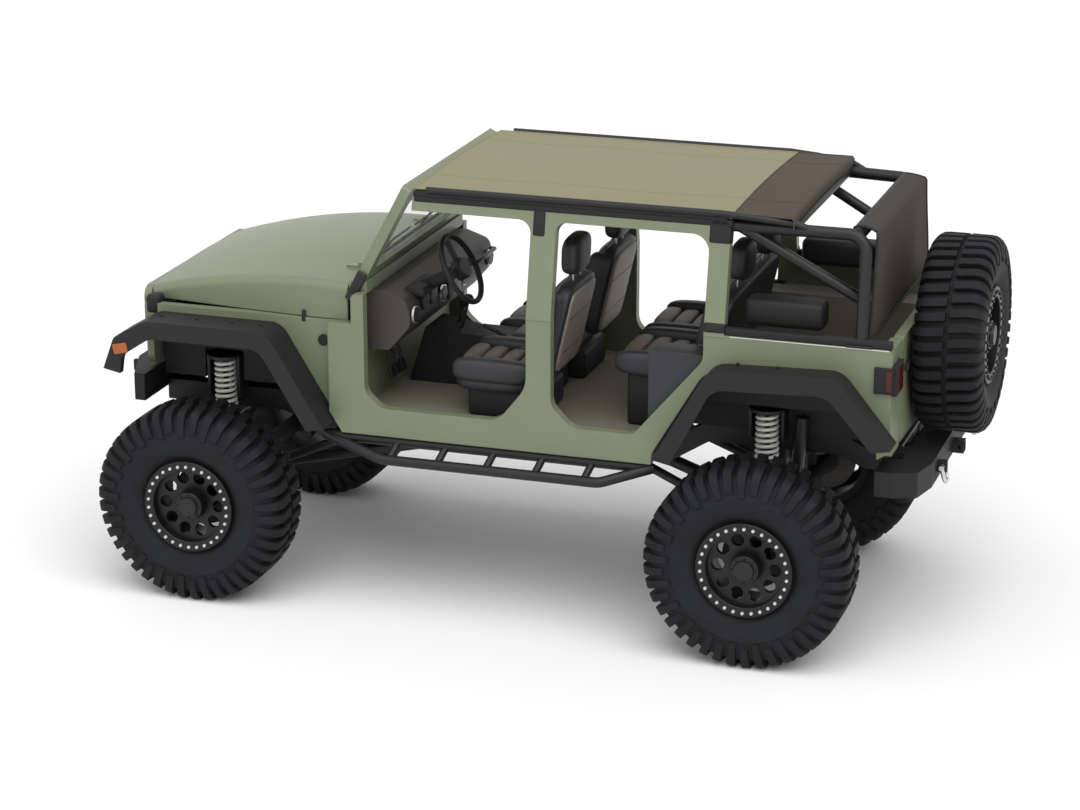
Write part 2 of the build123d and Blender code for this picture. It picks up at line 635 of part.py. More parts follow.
def body_side():
    """Left body side: rocker, cowl side, rear quarter and pillars, with both door openings and the arch cut."""
    y_in = BODY_HALF - BODY_WALL
    front_x = FRONT_AXLE_X - 720
    lower = side_plate(
        [
            (front_x - 70, SILL_Z, 0),
            (front_x, SILL_Z + 110, 0),
            (front_x, HOOD_LOW_Z, 0),
            (COWL_FRONT_X - 30, HOOD_LOW_Z + 2, 0),
            (COWL_FRONT_X - 30, BELT_Z + 40, 30),
            (DOOR_FRONT_X + 2, BELT_Z + 40, 0),
            (DOOR_FRONT_X - 60, BELT_Z, 0),
            (TUB_REAR_X, BELT_Z, 30),
            (TUB_REAR_X, SILL_Z + 190, 40),
            (REAR_AXLE_X - ARCH_HALF - 100, SILL_Z + 150, 0),
            (REAR_AXLE_X + ARCH_HALF, SILL_Z, 0),
        ],
        y_in,
        BODY_HALF,
    )
    front_door = [
        (DOOR_FRONT_X, DOOR_SILL_Z + 80, 90),
        (DOOR_FRONT_X - 90, DOOR_SILL_Z, 90),
        (DOOR_REAR_X + 150, DOOR_SILL_Z, 120),
        (DOOR_REAR_X, DOOR_SILL_Z + 190, 160),
        (DOOR_REAR_X, BELT_Z + 200, 0),
        (DOOR_FRONT_X, BELT_Z + 200, 0),
    ]
    rear_door = [
        (REAR_DOOR_FRONT_X, DOOR_SILL_Z + 110, 100),
        (REAR_DOOR_FRONT_X - 110, DOOR_SILL_Z, 100),
        (REAR_AXLE_X + ARCH_HALF + 140, DOOR_SILL_Z, 60),
        (REAR_DOOR_REAR_X, BELT_Z - 140, 90),
        (REAR_DOOR_REAR_X, BELT_Z + 200, 0),
        (REAR_DOOR_FRONT_X, BELT_Z + 200, 0),
    ]
    arch = arch_rows(REAR_AXLE_X, 0)
    for opening in (front_door, rear_door, arch):
        lower -= side_plate(opening, y_in - 10, BODY_HALF + 10)
    corner = block((TUB_REAR_X, TUB_REAR_X + 60), (GATE_HALF + 8, y_in), (GATE_LOW_Z - 10, BELT_Z))
    step_y = sorted((FRONT_BODY_HALF - 39, y_in + 4))
    step = block((front_x - 24, front_x), step_y, (SILL_Z + 135, HOOD_LOW_Z - 6))
    return lower + corner + step + pillars()


def arch_rows(axle_x, grow):
    """Wheel arch outline, (x, z, corner radius), widened all round by grow."""
    return [
        (axle_x + ARCH_HALF + 60 + grow, SILL_Z - 200, 0),
        (axle_x + ARCH_HALF + 40 + grow, SILL_Z + 60, 0),
        (axle_x + 270 + grow * 0.6, ARCH_TOP_Z + grow, 130),
        (axle_x - 330 - grow * 0.6, ARCH_TOP_Z + grow, 130),
        (axle_x - ARCH_HALF - 90 - grow, SILL_Z + 230, 0),
        (axle_x - ARCH_HALF - 130 - grow, SILL_Z - 200, 0),
    ]


def pillars():
    """B and C pillars with the roof side rail, leaning inwards from the belt."""
    plane = Plane(origin=(0, BODY_HALF, BELT_Z), x_dir=(-1, 0, 0), z_dir=LEAN_NORMAL)
    rail = 78
    front = -(SHIELD_TOP_X - 50)
    rows = [
        (front, LEAN_LENGTH - rail, 0),
        (-DOOR_REAR_X, LEAN_LENGTH - rail, 70),
        (-DOOR_REAR_X, -12, 0),
        (-REAR_DOOR_FRONT_X, -12, 0),
        (-REAR_DOOR_FRONT_X, LEAN_LENGTH - rail, 50),
        (-REAR_DOOR_REAR_X, LEAN_LENGTH - rail, 90),
        (-REAR_DOOR_REAR_X, -12, 0),
        (-C_PILLAR_REAR_X, -12, 0),
        (-C_PILLAR_REAR_X, LEAN_LENGTH, 0),
        (front, LEAN_LENGTH, 0),
    ]
    return extrude(plane * outline(rows), -BODY_WALL)


def floor_pan():
    """Cabin floor, raised cargo floor and the wheel houses."""
    y_in = BODY_HALF - BODY_WALL - SEAT_GAP
    step_x = REAR_AXLE_X + ARCH_HALF + 60
    back_x = TUB_REAR_X + 62
    floor = block((step_x, COWL_FRONT_X - 34), (-y_in, y_in), (FLOOR_Z - FLOOR_THICK, FLOOR_Z))
    floor += block((step_x - FLOOR_THICK, step_x), (-y_in, y_in), (FLOOR_Z - FLOOR_THICK, CARGO_FLOOR_Z))
    floor += block((back_x, step_x), (-y_in, y_in), (CARGO_FLOOR_Z - FLOOR_THICK, CARGO_FLOOR_Z))
    arch_x = (REAR_AXLE_X - ARCH_HALF - 60, step_x)
    for side in (1, -1):
        house_y = sorted((side * GATE_HALF, side * y_in))
        floor += block(arch_x, house_y, (CARGO_FLOOR_Z - FLOOR_THICK, ARCH_TOP_Z + 40))
        well_y = sorted((side * (GATE_HALF + FLOOR_THICK), side * (y_in + 20)))
        well_x = (arch_x[0] + FLOOR_THICK, arch_x[1] - FLOOR_THICK)
        floor -= block(well_x, well_y, (CARGO_FLOOR_Z - 200, ARCH_TOP_Z + 40 - FLOOR_THICK))
    return floor


def firewall():
    """Bulkhead between engine bay and cabin, with the cowl on top."""
    y_in = BODY_HALF - BODY_WALL - SEAT_GAP
    wall_x = (COWL_FRONT_X - 34, COWL_FRONT_X)
    wall = block(wall_x, (-y_in + 60, y_in - 60), (FLOOR_Z - FLOOR_THICK, SHIELD_BASE_Z - 60))
    cowl_rows = [
        (COWL_FRONT_X, SHIELD_BASE_Z - 64, 0),
        (COWL_FRONT_X, SHIELD_BASE_Z - 6, 12),
        (SHIELD_BASE_X + 4, SHIELD_BASE_Z - SEAT_GAP, 0),
        (SHIELD_BASE_X - 70, SHIELD_BASE_Z - SEAT_GAP, 0),
        (SHIELD_BASE_X - 70, SHIELD_BASE_Z - 64, 0),
    ]
    wall += side_plate(cowl_rows, -SHIELD_BASE_HALF, SHIELD_BASE_HALF)
    for side in (1, -1):
        for edge in (-1, 1):
            low = HOOD_HINGE_Y + edge * (HOOD_HINGE_HALF + 5.5)
            ear_y = sorted((side * (low - 5), side * (low + 5)))
            wall += block((HOOD_HINGE_X - 34, HOOD_HINGE_X - 12), ear_y, (SHIELD_BASE_Z - 20, HOOD_HINGE_Z))
            wall += block((HOOD_HINGE_X - 34, HOOD_HINGE_X + 11), ear_y, (HOOD_HINGE_Z - 12, HOOD_HINGE_Z + 12))
        pin = Pos(HOOD_HINGE_X, side * HOOD_HINGE_Y, HOOD_HINGE_Z) * Rot(90, 0, 0)
        wall += pin * Cylinder(HOOD_PIN, 2 * HOOD_HINGE_HALF + 20)
    return wall


def shield_rows(inset, radius):
    """Windshield outline in its own plane, (across, up the slope, corner radius)."""
    return [
        (-SHIELD_BASE_HALF + inset, inset, radius),
        (SHIELD_BASE_HALF - inset, inset, radius),
        (SHIELD_TOP_HALF - inset, SHIELD_LENGTH - inset, radius),
        (-SHIELD_TOP_HALF + inset, SHIELD_LENGTH - inset, radius),
    ]


def windshield_frame():
    plane = SHIELD_PLANE.offset(-SHIELD_THICK)
    ring = extrude(plane * outline(shield_rows(0, 24)), SHIELD_THICK)
    ring -= extrude(plane.offset(-1) * outline(shield_rows(SHIELD_BORDER, 40)), SHIELD_THICK + 2)
    below = (SHIELD_BASE_Z - 200, SHIELD_BASE_Z)
    return ring - block((SHIELD_BASE_X - 200, SHIELD_BASE_X + 100), (-1200, 1200), below)


def windshield_glass():
    plane = SHIELD_PLANE.offset(-SHIELD_THICK / 2)
    return extrude(plane * outline(shield_rows(SHIELD_BORDER + SEAT_GAP, 40)), GLASS_THICK)


def hood_section(station, inset, low_z):
    """Closed hood cross-section: side, rounded crease and crowned top."""
    x, half, crease, crown = station
    half, crease = half - inset, crease - inset
    edge = HOOD_EDGE - inset / 2
    bend = edge * 0.29
    left = [
        Line((-half, low_z), (-half, crease - edge)),
        ThreePointArc((-half, crease - edge), (-half + bend, crease - bend), (-half + edge, crease)),
    ]
    top = ThreePointArc((-half + edge, crease), (0, crease + crown), (half - edge, crease))
    right = [
        ThreePointArc((half - edge, crease), (half - bend, crease - bend), (half, crease - edge)),
        Line((half, crease - edge), (half, low_z)),
    ]
    base = Line((half, low_z), (-half, low_z))
    plane = Plane(origin=(x, 0, 0), x_dir=(0, 1, 0), z_dir=(1, 0, 0))
    return plane * make_face(left + [top] + right + [base])


def hood():
    """Crowned hood shell that wraps down over the engine bay's sides."""
    skin = loft([hood_section(row, 0, HOOD_LOW_Z) for row in HOOD_STATIONS])
    inner_rows = [(row[0] - HOOD_SKIN if row[0] == HOOD_FRONT_X else row[0], *row[1:]) for row in HOOD_STATIONS]
    hollow = loft([hood_section(row, HOOD_SKIN, HOOD_LOW_Z - 2) for row in inner_rows])
    shell = skin - hollow
    for side in (1, -1):
        place = Pos(HOOD_HINGE_X, side * HOOD_HINGE_Y, HOOD_HINGE_Z) * Rot(90, 0, 0)
        strap_y = (side * HOOD_HINGE_Y - HOOD_HINGE_HALF, side * HOOD_HINGE_Y + HOOD_HINGE_HALF)
        shell += block((HOOD_HINGE_X + 4, HOOD_HINGE_X + 90), strap_y, (HOOD_HINGE_Z - 34, HOOD_HINGE_Z - 8))
        shell += block((HOOD_HINGE_X, HOOD_HINGE_X + 26), strap_y, (HOOD_HINGE_Z - 12, HOOD_HINGE_Z + 8))
        shell += place * Cylinder(12, 2 * HOOD_HINGE_HALF)
        shell -= place * Cylinder(HOOD_PIN + SPINDLE_GAP, 4 * HOOD_HINGE_HALF)
    return shell


def grille():
    """Upright front panel with slatted opening and round lamp holes."""
    top_z = HOOD_STATIONS[0][2] - 4
    rows = [
        (-GRILLE_HALF + 20, 1165, 60),
        (GRILLE_HALF - 20, 1165, 60),
        (GRILLE_HALF, top_z, 60),
        (-GRILLE_HALF, top_z, 60),
    ]
    panel = front_plate(rows, GRILLE_BACK_X, GRILLE_BACK_X + 40)
    slot = 30
    pitch = 62
    for step in range(5):
        z = 1250 + pitch * step
        slot_rows = [(-300, z, 12), (300, z, 12), (300, z + slot, 12), (-300, z + slot, 12)]
        panel -= front_plate(slot_rows, HOOD_FRONT_X, HOOD_FRONT_X + 60)
    for side in (1, -1):
        hole = Pos(HOOD_FRONT_X + 22, side * LAMP_Y, LAMP_Z) * Rot(0, 90, 0)
        panel -= hole * Cylinder(LAMP_RADIUS + SEAT_GAP, 100)
    return panel


def headlamps():
    lamp = Pos(HOOD_FRONT_X + 16, LAMP_Y, LAMP_Z) * Rot(0, 90, 0) * Cylinder(LAMP_RADIUS, 60)
    glass = Cone(LAMP_RADIUS, LAMP_RADIUS - 26, 14, align=(Align.CENTER, Align.CENTER, Align.MIN))
    lens = Pos(HOOD_FRONT_X + 46, LAMP_Y, LAMP_Z) * Rot(0, 90, 0) * glass
    return pair(lamp + lens)


def fenders():
    """Front fender panels: the strip over the flare and the panel ahead of the door."""
    low = HOOD_LOW_Z - 4
    rows = [
        (HOOD_FRONT_X, low, 0),
        (HOOD_FRONT_X, 1420, 0),
        (FRONT_AXLE_X + 260, 1490, 0),
        (FRONT_AXLE_X - 430, 1490, 60),
        (FRONT_AXLE_X - 690, 1080, 0),
        (FRONT_AXLE_X - 720 + SEAT_GAP, 1080, 0),
        (FRONT_AXLE_X - 720 + SEAT_GAP, low, 0),
    ]
    panel = side_plate(rows, FRONT_BODY_HALF - 40, FRONT_BODY_HALF)
    flange_x = (HOOD_FRONT_X - 12, GRILLE_BACK_X - SEAT_GAP)
    return pair(panel + block(flange_x, (GRILLE_HALF - 30, FRONT_BODY_HALF), (1440, low - 10)))


def inner_fenders():
    """Dark liners that close the front wheel wells."""
    top = block((COWL_FRONT_X + 4, HOOD_FRONT_X - 20), (548, FRONT_BODY_HALF - 40 - SEAT_GAP), (1474, 1488))
    wall = block((COWL_FRONT_X + 4, HOOD_FRONT_X - 20), (548, 560), (FRONT_RAIL_LOW_Z + RAIL_HEIGHT + 60, 1480))
    gap_x = (FRONT_SPRING_X - SPRING_RADIUS - 48, FRONT_SPRING_X + SPRING_RADIUS + 48)
    wall -= block(gap_x, (500, 600), (FRONT_RAIL_LOW_Z, SPRING_HIGH_Z + 40))
    return pair(top + wall)


def flare(axle_x, rows, drop, y_in):
    """Arched flare: a top skin that reaches out from the body and a deep outer face."""
    outer = [(axle_x + x, z, r) for x, z, r in rows]

    def inner(depth):
        first, last = rows[0], rows[-1]
        under = [(axle_x + x * (1 - depth / 900), z - depth, r * 0.9) for x, z, r in rows[1:-1]]
        start = (axle_x + first[0] - depth, first[1] - depth * 0.2, 0)
        end = (axle_x + last[0] + depth, last[1] - depth * 0.2, 0)
        return [end, *reversed(under), start]

    skin = side_plate(outer + inner(FLARE_SKIN), y_in, FLARE_OUT_Y)
    face = side_plate(outer + inner(drop), FLARE_OUT_Y - 40, FLARE_OUT_Y)
    return skin + face


def front_flares():
    return pair(flare(FRONT_AXLE_X, FRONT_FLARE, FLARE_FACE, FRONT_BODY_HALF + SEAT_GAP))


def rear_flares():
    return pair(flare(REAR_AXLE_X, REAR_FLARE, FLARE_FACE, BODY_HALF + SEAT_GAP))


def front_bumper():
    """Stubby front bumper with swept ends."""
    back_x = FRONT_BUMPER_BACK_X
    nose_x = NOSE_X - 62
    rows = [
        (back_x, -770, 0),
        (back_x + 60, -770, 0),
        (nose_x, -470, 30),
        (nose_x, 470, 30),
        (back_x + 60, 770, 0),
        (back_x, 770, 0),
    ]
    body = plan_plate(rows, FRONT_BUMPER_LOW_Z, FRONT_BUMPER_HIGH_Z)
    cut = [(back_x + 40, 1000, 0), (NOSE_X, 900, 0), (NOSE_X, FRONT_BUMPER_LOW_Z + 70, 0)]
    body -= side_plate(cut, -900, 900)
    for side in (1, -1):
        lug_y = sorted((side * (SHACKLE_Y - 13), side * (SHACKLE_Y + 13)))
        body += block((nose_x - 20, NOSE_X), lug_y, (SHACKLE_Z - 30, SHACKLE_Z + 30))
        pin = Pos(NOSE_X - 45, side * SHACKLE_Y, SHACKLE_Z) * Rot(90, 0, 0)
        body -= pin * Cylinder(SHACKLE_BORE, 60)
    return body


def shackle(lug_x, lug_z, forward):
    """Bow shackle hanging from its pin in a bumper lug."""
    half = 34
    drop = 78
    wire = 11
    hang = forward * 20
    points = [
        (lug_x, SHACKLE_Y - half, lug_z - 6),
        (lug_x + hang, SHACKLE_Y - half, lug_z - drop),
        (lug_x + hang, SHACKLE_Y + half, lug_z - drop),
        (lug_x, SHACKLE_Y + half, lug_z - 6),
    ]
    bow = pipe(points, wire, 30)
    pin_half = half + 16
    ends = [(lug_x, SHACKLE_Y + step * pin_half, lug_z) for step in (-1, 1)]
    pin = rod(*ends, SHACKLE_BORE - SEAT_GAP)
    return bow + pin


def shackles():
    front = shackle(NOSE_X - 45, SHACKLE_Z, 1)
    rear = shackle(REAR_LUG_X, REAR_SHACKLE_Z, -1)
    return pair(front) + pair(rear)


def rear_bumper():
    """Rear bumper with swept ends, shackle lugs and a hitch receiver."""
    front_x = REAR_BUMPER_FRONT_X
    rows = [
        (front_x + 90, -780, 0),
        (front_x, -780, 0),
        (REAR_BUMPER_BACK_X + 40, -740, 20),
        (REAR_BUMPER_BACK_X, -560, 20),
        (REAR_BUMPER_BACK_X, 560, 20),
        (REAR_BUMPER_BACK_X + 40, 740, 20),
        (front_x, 780, 0),
        (front_x + 90, 780, 0),
    ]
    body = plan_plate(rows, REAR_BUMPER_LOW_Z, REAR_BUMPER_HIGH_Z)
    body -= block((front_x, front_x + 120), (-560, 560), (REAR_BUMPER_LOW_Z - 5, REAR_BUMPER_HIGH_Z + 5))
    for side in (1, -1):
        lug_y = sorted((side * (SHACKLE_Y - 13), side * (SHACKLE_Y + 13)))
        lug_z = (REAR_SHACKLE_Z - 30, REAR_SHACKLE_Z + 30)
        body += block((REAR_LUG_X - 22, REAR_BUMPER_BACK_X + 10), lug_y, lug_z)
        pin = Pos(REAR_LUG_X, side * SHACKLE_Y, REAR_SHACKLE_Z) * Rot(90, 0, 0)
        body -= pin * Cylinder(SHACKLE_BORE, 60)
    for half, reach, cut in ((HITCH_OUT, (-60, 60), False), (HITCH_IN, (-70, 100), True)):
        tube_x = (REAR_BUMPER_BACK_X + reach[0], REAR_BUMPER_BACK_X + reach[1])
        tube = block(tube_x, (-half, half), (HITCH_Z - half, HITCH_Z + half))
        body = body - tube if cut else body + tube
    return body - Pos(REAR_BUMPER_BACK_X - 35, 0, HITCH_Z) * Rot(90, 0, 0) * Cylinder(HITCH_PIN, 4 * HITCH_OUT)


def rock_slider():
    """Tube step under the left sill: sill rail, outer tube, struts and frame legs."""
    front_x = FRONT_AXLE_X - 700
    back_x = REAR_AXLE_X + ARCH_HALF + 50
    rail_z = SILL_Z - SLIDER_TUBE - SEAT_GAP
    rail_y = BODY_HALF - 40
    slider = rod((front_x, rail_y, rail_z), (back_x, rail_y, rail_z), SLIDER_TUBE)
    outer_y, outer_z = BODY_HALF + 60, SILL_Z - 105
    path = [
        (front_x + 20, rail_y, rail_z),
        (front_x - 330, outer_y, outer_z),
        (back_x + 250, outer_y, outer_z),
        (back_x - 10, rail_y, rail_z),
    ]
    slider += pipe(path, SLIDER_TUBE - 3, 120)
    struts = 5
    span = (path[1][0] - 60) - (path[2][0] + 60)
    for step in range(struts):
        x = path[2][0] + 60 + span * step / (struts - 1)
        slider += rod((x, rail_y, rail_z), (x + 22, outer_y, outer_z), 20)
    for x in (front_x - 420, back_x + 300):
        frame_y = FRAME_RAIL_Y + FRAME_RAIL_WIDTH / 2 + SEAT_GAP
        slider += rod((x, frame_y, rail_z - 8), (x, rail_y, rail_z - 8), 20)
    return slider


def rock_sliders():
    return pair(rock_slider())


def tailgate():
    """Swing gate with the carrier that holds the spare wheel."""
    rows = [
        (-GATE_HALF, GATE_LOW_Z, 30),
        (GATE_HALF, GATE_LOW_Z, 30),
        (GATE_HALF, BELT_Z, 40),
        (-GATE_HALF, BELT_Z, 40),
    ]
    gate = front_plate(rows, TUB_REAR_X, TUB_REAR_X + GATE_THICK)
    mount_x = SPARE_X + HUB_SEAT_DEPTH
    carrier = rod((TUB_REAR_X + 1, 0, SPARE_Z), (mount_x, 0, SPARE_Z), 90)
    legs_rows = [
        (-240, GATE_LOW_Z + 60, 30),
        (240, GATE_LOW_Z + 60, 30),
        (90, SPARE_Z + 60, 30),
        (-90, SPARE_Z + 60, 30),
    ]
    carrier += front_plate(legs_rows, TUB_REAR_X - 11, TUB_REAR_X + 1)
    for z in GATE_HINGE_HEIGHTS:
        strap_z = (z - 30, z + 30)
        carrier += block((TUB_REAR_X - 20, TUB_REAR_X - 7), (GATE_HINGE_Y, -GATE_HALF + 44), strap_z)
        carrier += block((TUB_REAR_X - 8, TUB_REAR_X + 1), (-GATE_HALF + 14, -GATE_HALF + 44), strap_z)
        carrier += Pos(GATE_HINGE_X, GATE_HINGE_Y, z) * Cylinder(16, 60)
    leaf = gate + carrier
    for z in GATE_HINGE_HEIGHTS:
        leaf -= Pos(GATE_HINGE_X, GATE_HINGE_Y, z) * Cylinder(GATE_PIN + SPINDLE_GAP, 90)
    return leaf


def gate_hinges():
    """Ears and pins on the right rear corner that carry the gate."""
    hinges = []
    for z in GATE_HINGE_HEIGHTS:
        ear_y = (GATE_HINGE_Y - 60, GATE_HINGE_Y + 14)
        root = block((TUB_REAR_X - 6, TUB_REAR_X - SEAT_GAP), (ear_y[0], GATE_HINGE_Y - 22), (z - 43, z + 43))
        for low in (z - 43, z + 31):
            root += block((GATE_HINGE_X - 14, TUB_REAR_X - SEAT_GAP), ear_y, (low, low + 12))
        hinges.append(root + Pos(GATE_HINGE_X, GATE_HINGE_Y, z) * Cylinder(GATE_PIN, 86))
    return hinges


def tail_lamps():
    lamp = block((TUB_REAR_X - 26, TUB_REAR_X - SEAT_GAP), (BODY_HALF - 150, BODY_HALF + 4), (1440, 1590))
    lamp += block((TUB_REAR_X - 10, TUB_REAR_X + 86), (BODY_HALF + SEAT_GAP, BODY_HALF + 18), (1450, 1580))
    return pair(lamp)


def roof_rails():
    """Black rails over the door openings that carry the fabric top."""
    rows = [
        (SHIELD_TOP_X - 58, ROOF_Z + SEAT_GAP, 0),
        (SHIELD_TOP_X - 58, ROOF_Z + 26, 10),
        (C_PILLAR_REAR_X + 20, ROOF_Z + 26, 10),
        (C_PILLAR_REAR_X + 20, ROOF_Z + SEAT_GAP, 0),
    ]
    return pair(side_plate(rows, ROOF_HALF - BODY_WALL, ROOF_HALF + 10))


def roll_cage():
    """Rear cage: side hoops, cross tube and diagonal braces, one welded frame."""
    top_z = ROOF_Z - CAGE_TUBE
    start_x = C_PILLAR_REAR_X - 2.5
    start_y, rear_y, foot_y = ROOF_HALF - 40, ROOF_HALF - 80, BODY_HALF - 30
    foot_z = BELT_Z + SEAT_GAP
    hoop = pipe(
        [
            (start_x, start_y, top_z),
            (CAGE_REAR_X + 12, rear_y, top_z - 10),
            (CAGE_REAR_X - 10, foot_y, foot_z - 40),
        ],
        CAGE_TUBE,
        95,
    )
    brace_low = (CAGE_REAR_X + 40, rear_y - 10, BELT_Z + 0.345 * (ROOF_Z - BELT_Z))
    brace = rod((start_x - 30, start_y - 4, top_z - 4), brace_low, CAGE_TUBE - 3)
    side = hoop + brace
    cage = side + right_of(side)
    # cross tube x, half length, height below the hoop's top
    for x, half, below in ((CAGE_REAR_X + 60, rear_y, 8), (TOP_REAR_X + 20, rear_y + 20, 4)):
        cage += rod((x, -half, top_z - below), (x, half, top_z - below), CAGE_TUBE - 2)
    return cage - block((CAGE_REAR_X - 200, CAGE_REAR_X + 100), (-1200, 1200), (foot_z - 200, foot_z))


def soft_top():
    """Fabric top, crowned from side to side, from the windshield header to the rear bow."""
    half = ROOF_HALF - 4
    edge_z = ROOF_Z + 26 + SEAT_GAP
    thick, crown = 8, 22
    arc = [
        Line((-half, edge_z), (half, edge_z)),
        Line((half, edge_z), (half, edge_z + thick)),
        ThreePointArc((half, edge_z + thick), (0, edge_z + thick + crown), (-half, edge_z + thick)),
        Line((-half, edge_z + thick), (-half, edge_z)),
    ]
    plane = Plane(origin=(TOP_REAR_X, 0, 0), x_dir=(0, 1, 0), z_dir=(1, 0, 0))
    return extrude(plane * make_face(arc), SHIELD_TOP_X - 58 - TOP_REAR_X)


def rear_curtain():
    """Dark fabric panel across the back of the cage."""
    low, high = BELT_Z + 10, ROOF_Z - 40
    low_half, high_half = BODY_HALF - 65, ROOF_HALF - 90
    rows = [(-low_half, low, 20), (low_half, low, 20), (high_half, high, 60), (-high_half, high, 60)]
    return front_plate(rows, CAGE_REAR_X - 44.2, CAGE_REAR_X - 31.8)


# Cabin


def dashboard():
    """Dash with its rounded top, wrapped from pillar to pillar."""
    rear = COWL_FRONT_X - 34 - SEAT_GAP
    rows = [
        (rear, 1380, 0),
        (rear, SHIELD_BASE_Z - 66, 0),
        (rear - 120, SHIELD_BASE_Z - 66, 40),
        (rear - 250, SHIELD_BASE_Z - 110, 60),
        (rear - 270, 1520, 60),
        (rear - 150, 1380, 40),
    ]
    half = BODY_HALF - 140
    hole = Pos(0, 0, -COLUMN_LENGTH / 2) * Cylinder(COLUMN_RADIUS + SEAT_GAP, COLUMN_LENGTH + 2)
    return side_plate(rows, -half, half) - STEERING_PLACE * hole


def console():
    """Centre console between the front seats."""
    rows = [
        (DOOR_FRONT_X + 10, FLOOR_Z + SEAT_GAP, 0),
        (DOOR_FRONT_X - 90, 1372, 40),
        (DOOR_FRONT_X - 320, 1330, 60),
        (DOOR_REAR_X + 60, 1330, 50),
        (DOOR_REAR_X + 60, FLOOR_Z + SEAT_GAP, 0),
    ]
    return side_plate(rows, -CONSOLE_HALF, CONSOLE_HALF)


def seat(front_x, width, low_z, cushion, back_rise, head_half, base_x, base_z):
    """Seat round y = 0: cushion, reclined back and headrest in one piece, on a base between two x values."""
    cushion_z = low_z + cushion
    back_top = cushion_z + back_rise
    rows = [
        (front_x, low_z + 16, 40),
        (front_x + 4, cushion_z + 12, 50),
        (front_x - 440, cushion_z - 14, 30),
        (front_x - 545, back_top - 40, 40),
        (front_x - 600, back_top - 20, 40),
        (front_x - 650, back_top - 60, 30),
        (front_x - 560, low_z, 60),
    ]
    body = side_plate(rows, -width / 2, width / 2)
    body += block(base_x, (-width / 2 + 50, width / 2 - 50), (base_z, low_z + 30))
    head_rows = [
        (front_x - 560, back_top + 20, 40),
        (front_x - 556, back_top + 190, 40),
        (front_x - 650, back_top + 200, 40),
        (front_x - 660, back_top + 24, 40),
    ]
    places = (0,) if width < BENCH_WIDTH else (-width / 4, width / 4)
    for middle in places:
        head = side_plate(head_rows, middle - head_half, middle + head_half)
        for y in (middle - 60, middle + 60):
            head += rod((front_x - 606, y, back_top - 60), (front_x - 612, y, back_top + 60), 8)
        body += head
    return body


def front_seats():
    base_x = (FRONT_SEAT_X - 480, FRONT_SEAT_X - 80)
    low_z = FLOOR_Z + 125
    back_rise = 0.5424 * (ROOF_Z - low_z - FRONT_CUSHION)
    one = seat(FRONT_SEAT_X, FRONT_SEAT_WIDTH, low_z, FRONT_CUSHION, back_rise, 140, base_x, FLOOR_Z + SEAT_GAP)
    return pair(Pos(0, FRONT_SEAT_Y, 0) * one)


def rear_bench():
    low_z = CARGO_FLOOR_Z + SEAT_GAP
    base_x = (REAR_AXLE_X + ARCH_HALF + 70, REAR_SEAT_X - 60)
    back_rise = 0.503 * (ROOF_Z - low_z - REAR_CUSHION)
    return seat(REAR_SEAT_X, BENCH_WIDTH, low_z, REAR_CUSHION, back_rise, 120, base_x, FLOOR_Z + SEAT_GAP)


def steering_wheel():
    """Rim, three spokes and boss, tilted towards the driver."""
    wheel = Torus(STEERING_WHEEL_RADIUS, STEERING_WHEEL_RIM)
    boss = Pos(0, 0, -6) * Cylinder(58, 44)
    wheel += boss
    for angle in (0, 180, 270):
        spoke = Rot(0, 0, angle) * Pos(STEERING_WHEEL_RADIUS / 2, 0, -4)
        wheel += spoke * Box(STEERING_WHEEL_RADIUS, 44, 14)
    wheel += Pos(0, 0, -70) * Cylinder(20, 130)
    return STEERING_PLACE * wheel




def steering_column():
    """Column tube from the dash to the wheel, with the bore that the wheel's shaft turns in."""
    tube = Pos(0, 0, -(COLUMN_LENGTH + 60) / 2) * Cylinder(COLUMN_RADIUS, COLUMN_LENGTH - 60)
    bore = Pos(0, 0, -100) * Cylinder(20 + SPINDLE_GAP, 90)
    return STEERING_PLACE * (tube - bore)


NODES = {
    "chassis_frame": chassis_frame,
    "front_axle": front_axle,
    "rear_axle": rear_axle,
    "coil_springs": coil_springs,
    "suspension_links": suspension_links,
    "engine_block": engine_block,
    "gearbox": gearbox,
    "drive_shafts": drive_shafts,
    "steering_box": steering_box,
    "pitman_arm": pitman_arm,
    "drag_link": drag_link,
    "tie_rod": tie_rod,
    "knuckle_left": lambda: knuckle(1),
    "knuckle_right": lambda: knuckle(-1),
    "body_side_left": body_side,
    "body_side_right": lambda: right_of(body_side()),
    "floor_pan": floor_pan,
    "firewall": firewall,
    "windshield_frame": windshield_frame,
    "windshield_glass": windshield_glass,
    "hood": hood,
    "grille": grille,
    "headlamps": headlamps,
    "fenders": fenders,
    "inner_fenders": inner_fenders,
    "front_flares": front_flares,
    "rear_flares": rear_flares,
    "front_bumper": front_bumper,
    "rear_bumper": rear_bumper,
    "shackles": shackles,
    "rock_sliders": rock_sliders,
    "tailgate": tailgate,
    "gate_hinges": gate_hinges,
    "tail_lamps": tail_lamps,
    "roof_rails": roof_rails,
    "roll_cage": roll_cage,
    "soft_top": soft_top,
    "rear_curtain": rear_curtain,
    "dashboard": dashboard,
    "console": console,
    "front_seats": front_seats,
    "rear_bench": rear_bench,
    "steering_column": steering_column,
    "steering_wheel": steering_wheel,
    "spare_tyre": lambda: place_spare(tyre(SPARE_RADIUS)),
    "spare_rim": lambda: place_spare(rim()),
}


def main():
    os.makedirs("parts", exist_ok=True)
    for name, make in NODES.items():
        write(name, make())
    shared = {"tyre": tyre(), "rim": rim(), "hub": hub()}
    for corner in WHEEL_PLACES:
        for piece, shape in shared.items():
            write(f"{piece}_{corner}", place_wheel(shape, corner))


def write(name, made):
    """One STEP file for a node, which may hold several solids."""
    shapes = made if isinstance(made, list) else [made]
    solids = [solid for shape in shapes for solid in shape.solids()]
    export_step(Compound(solids), f"parts/{name}.step")


main()
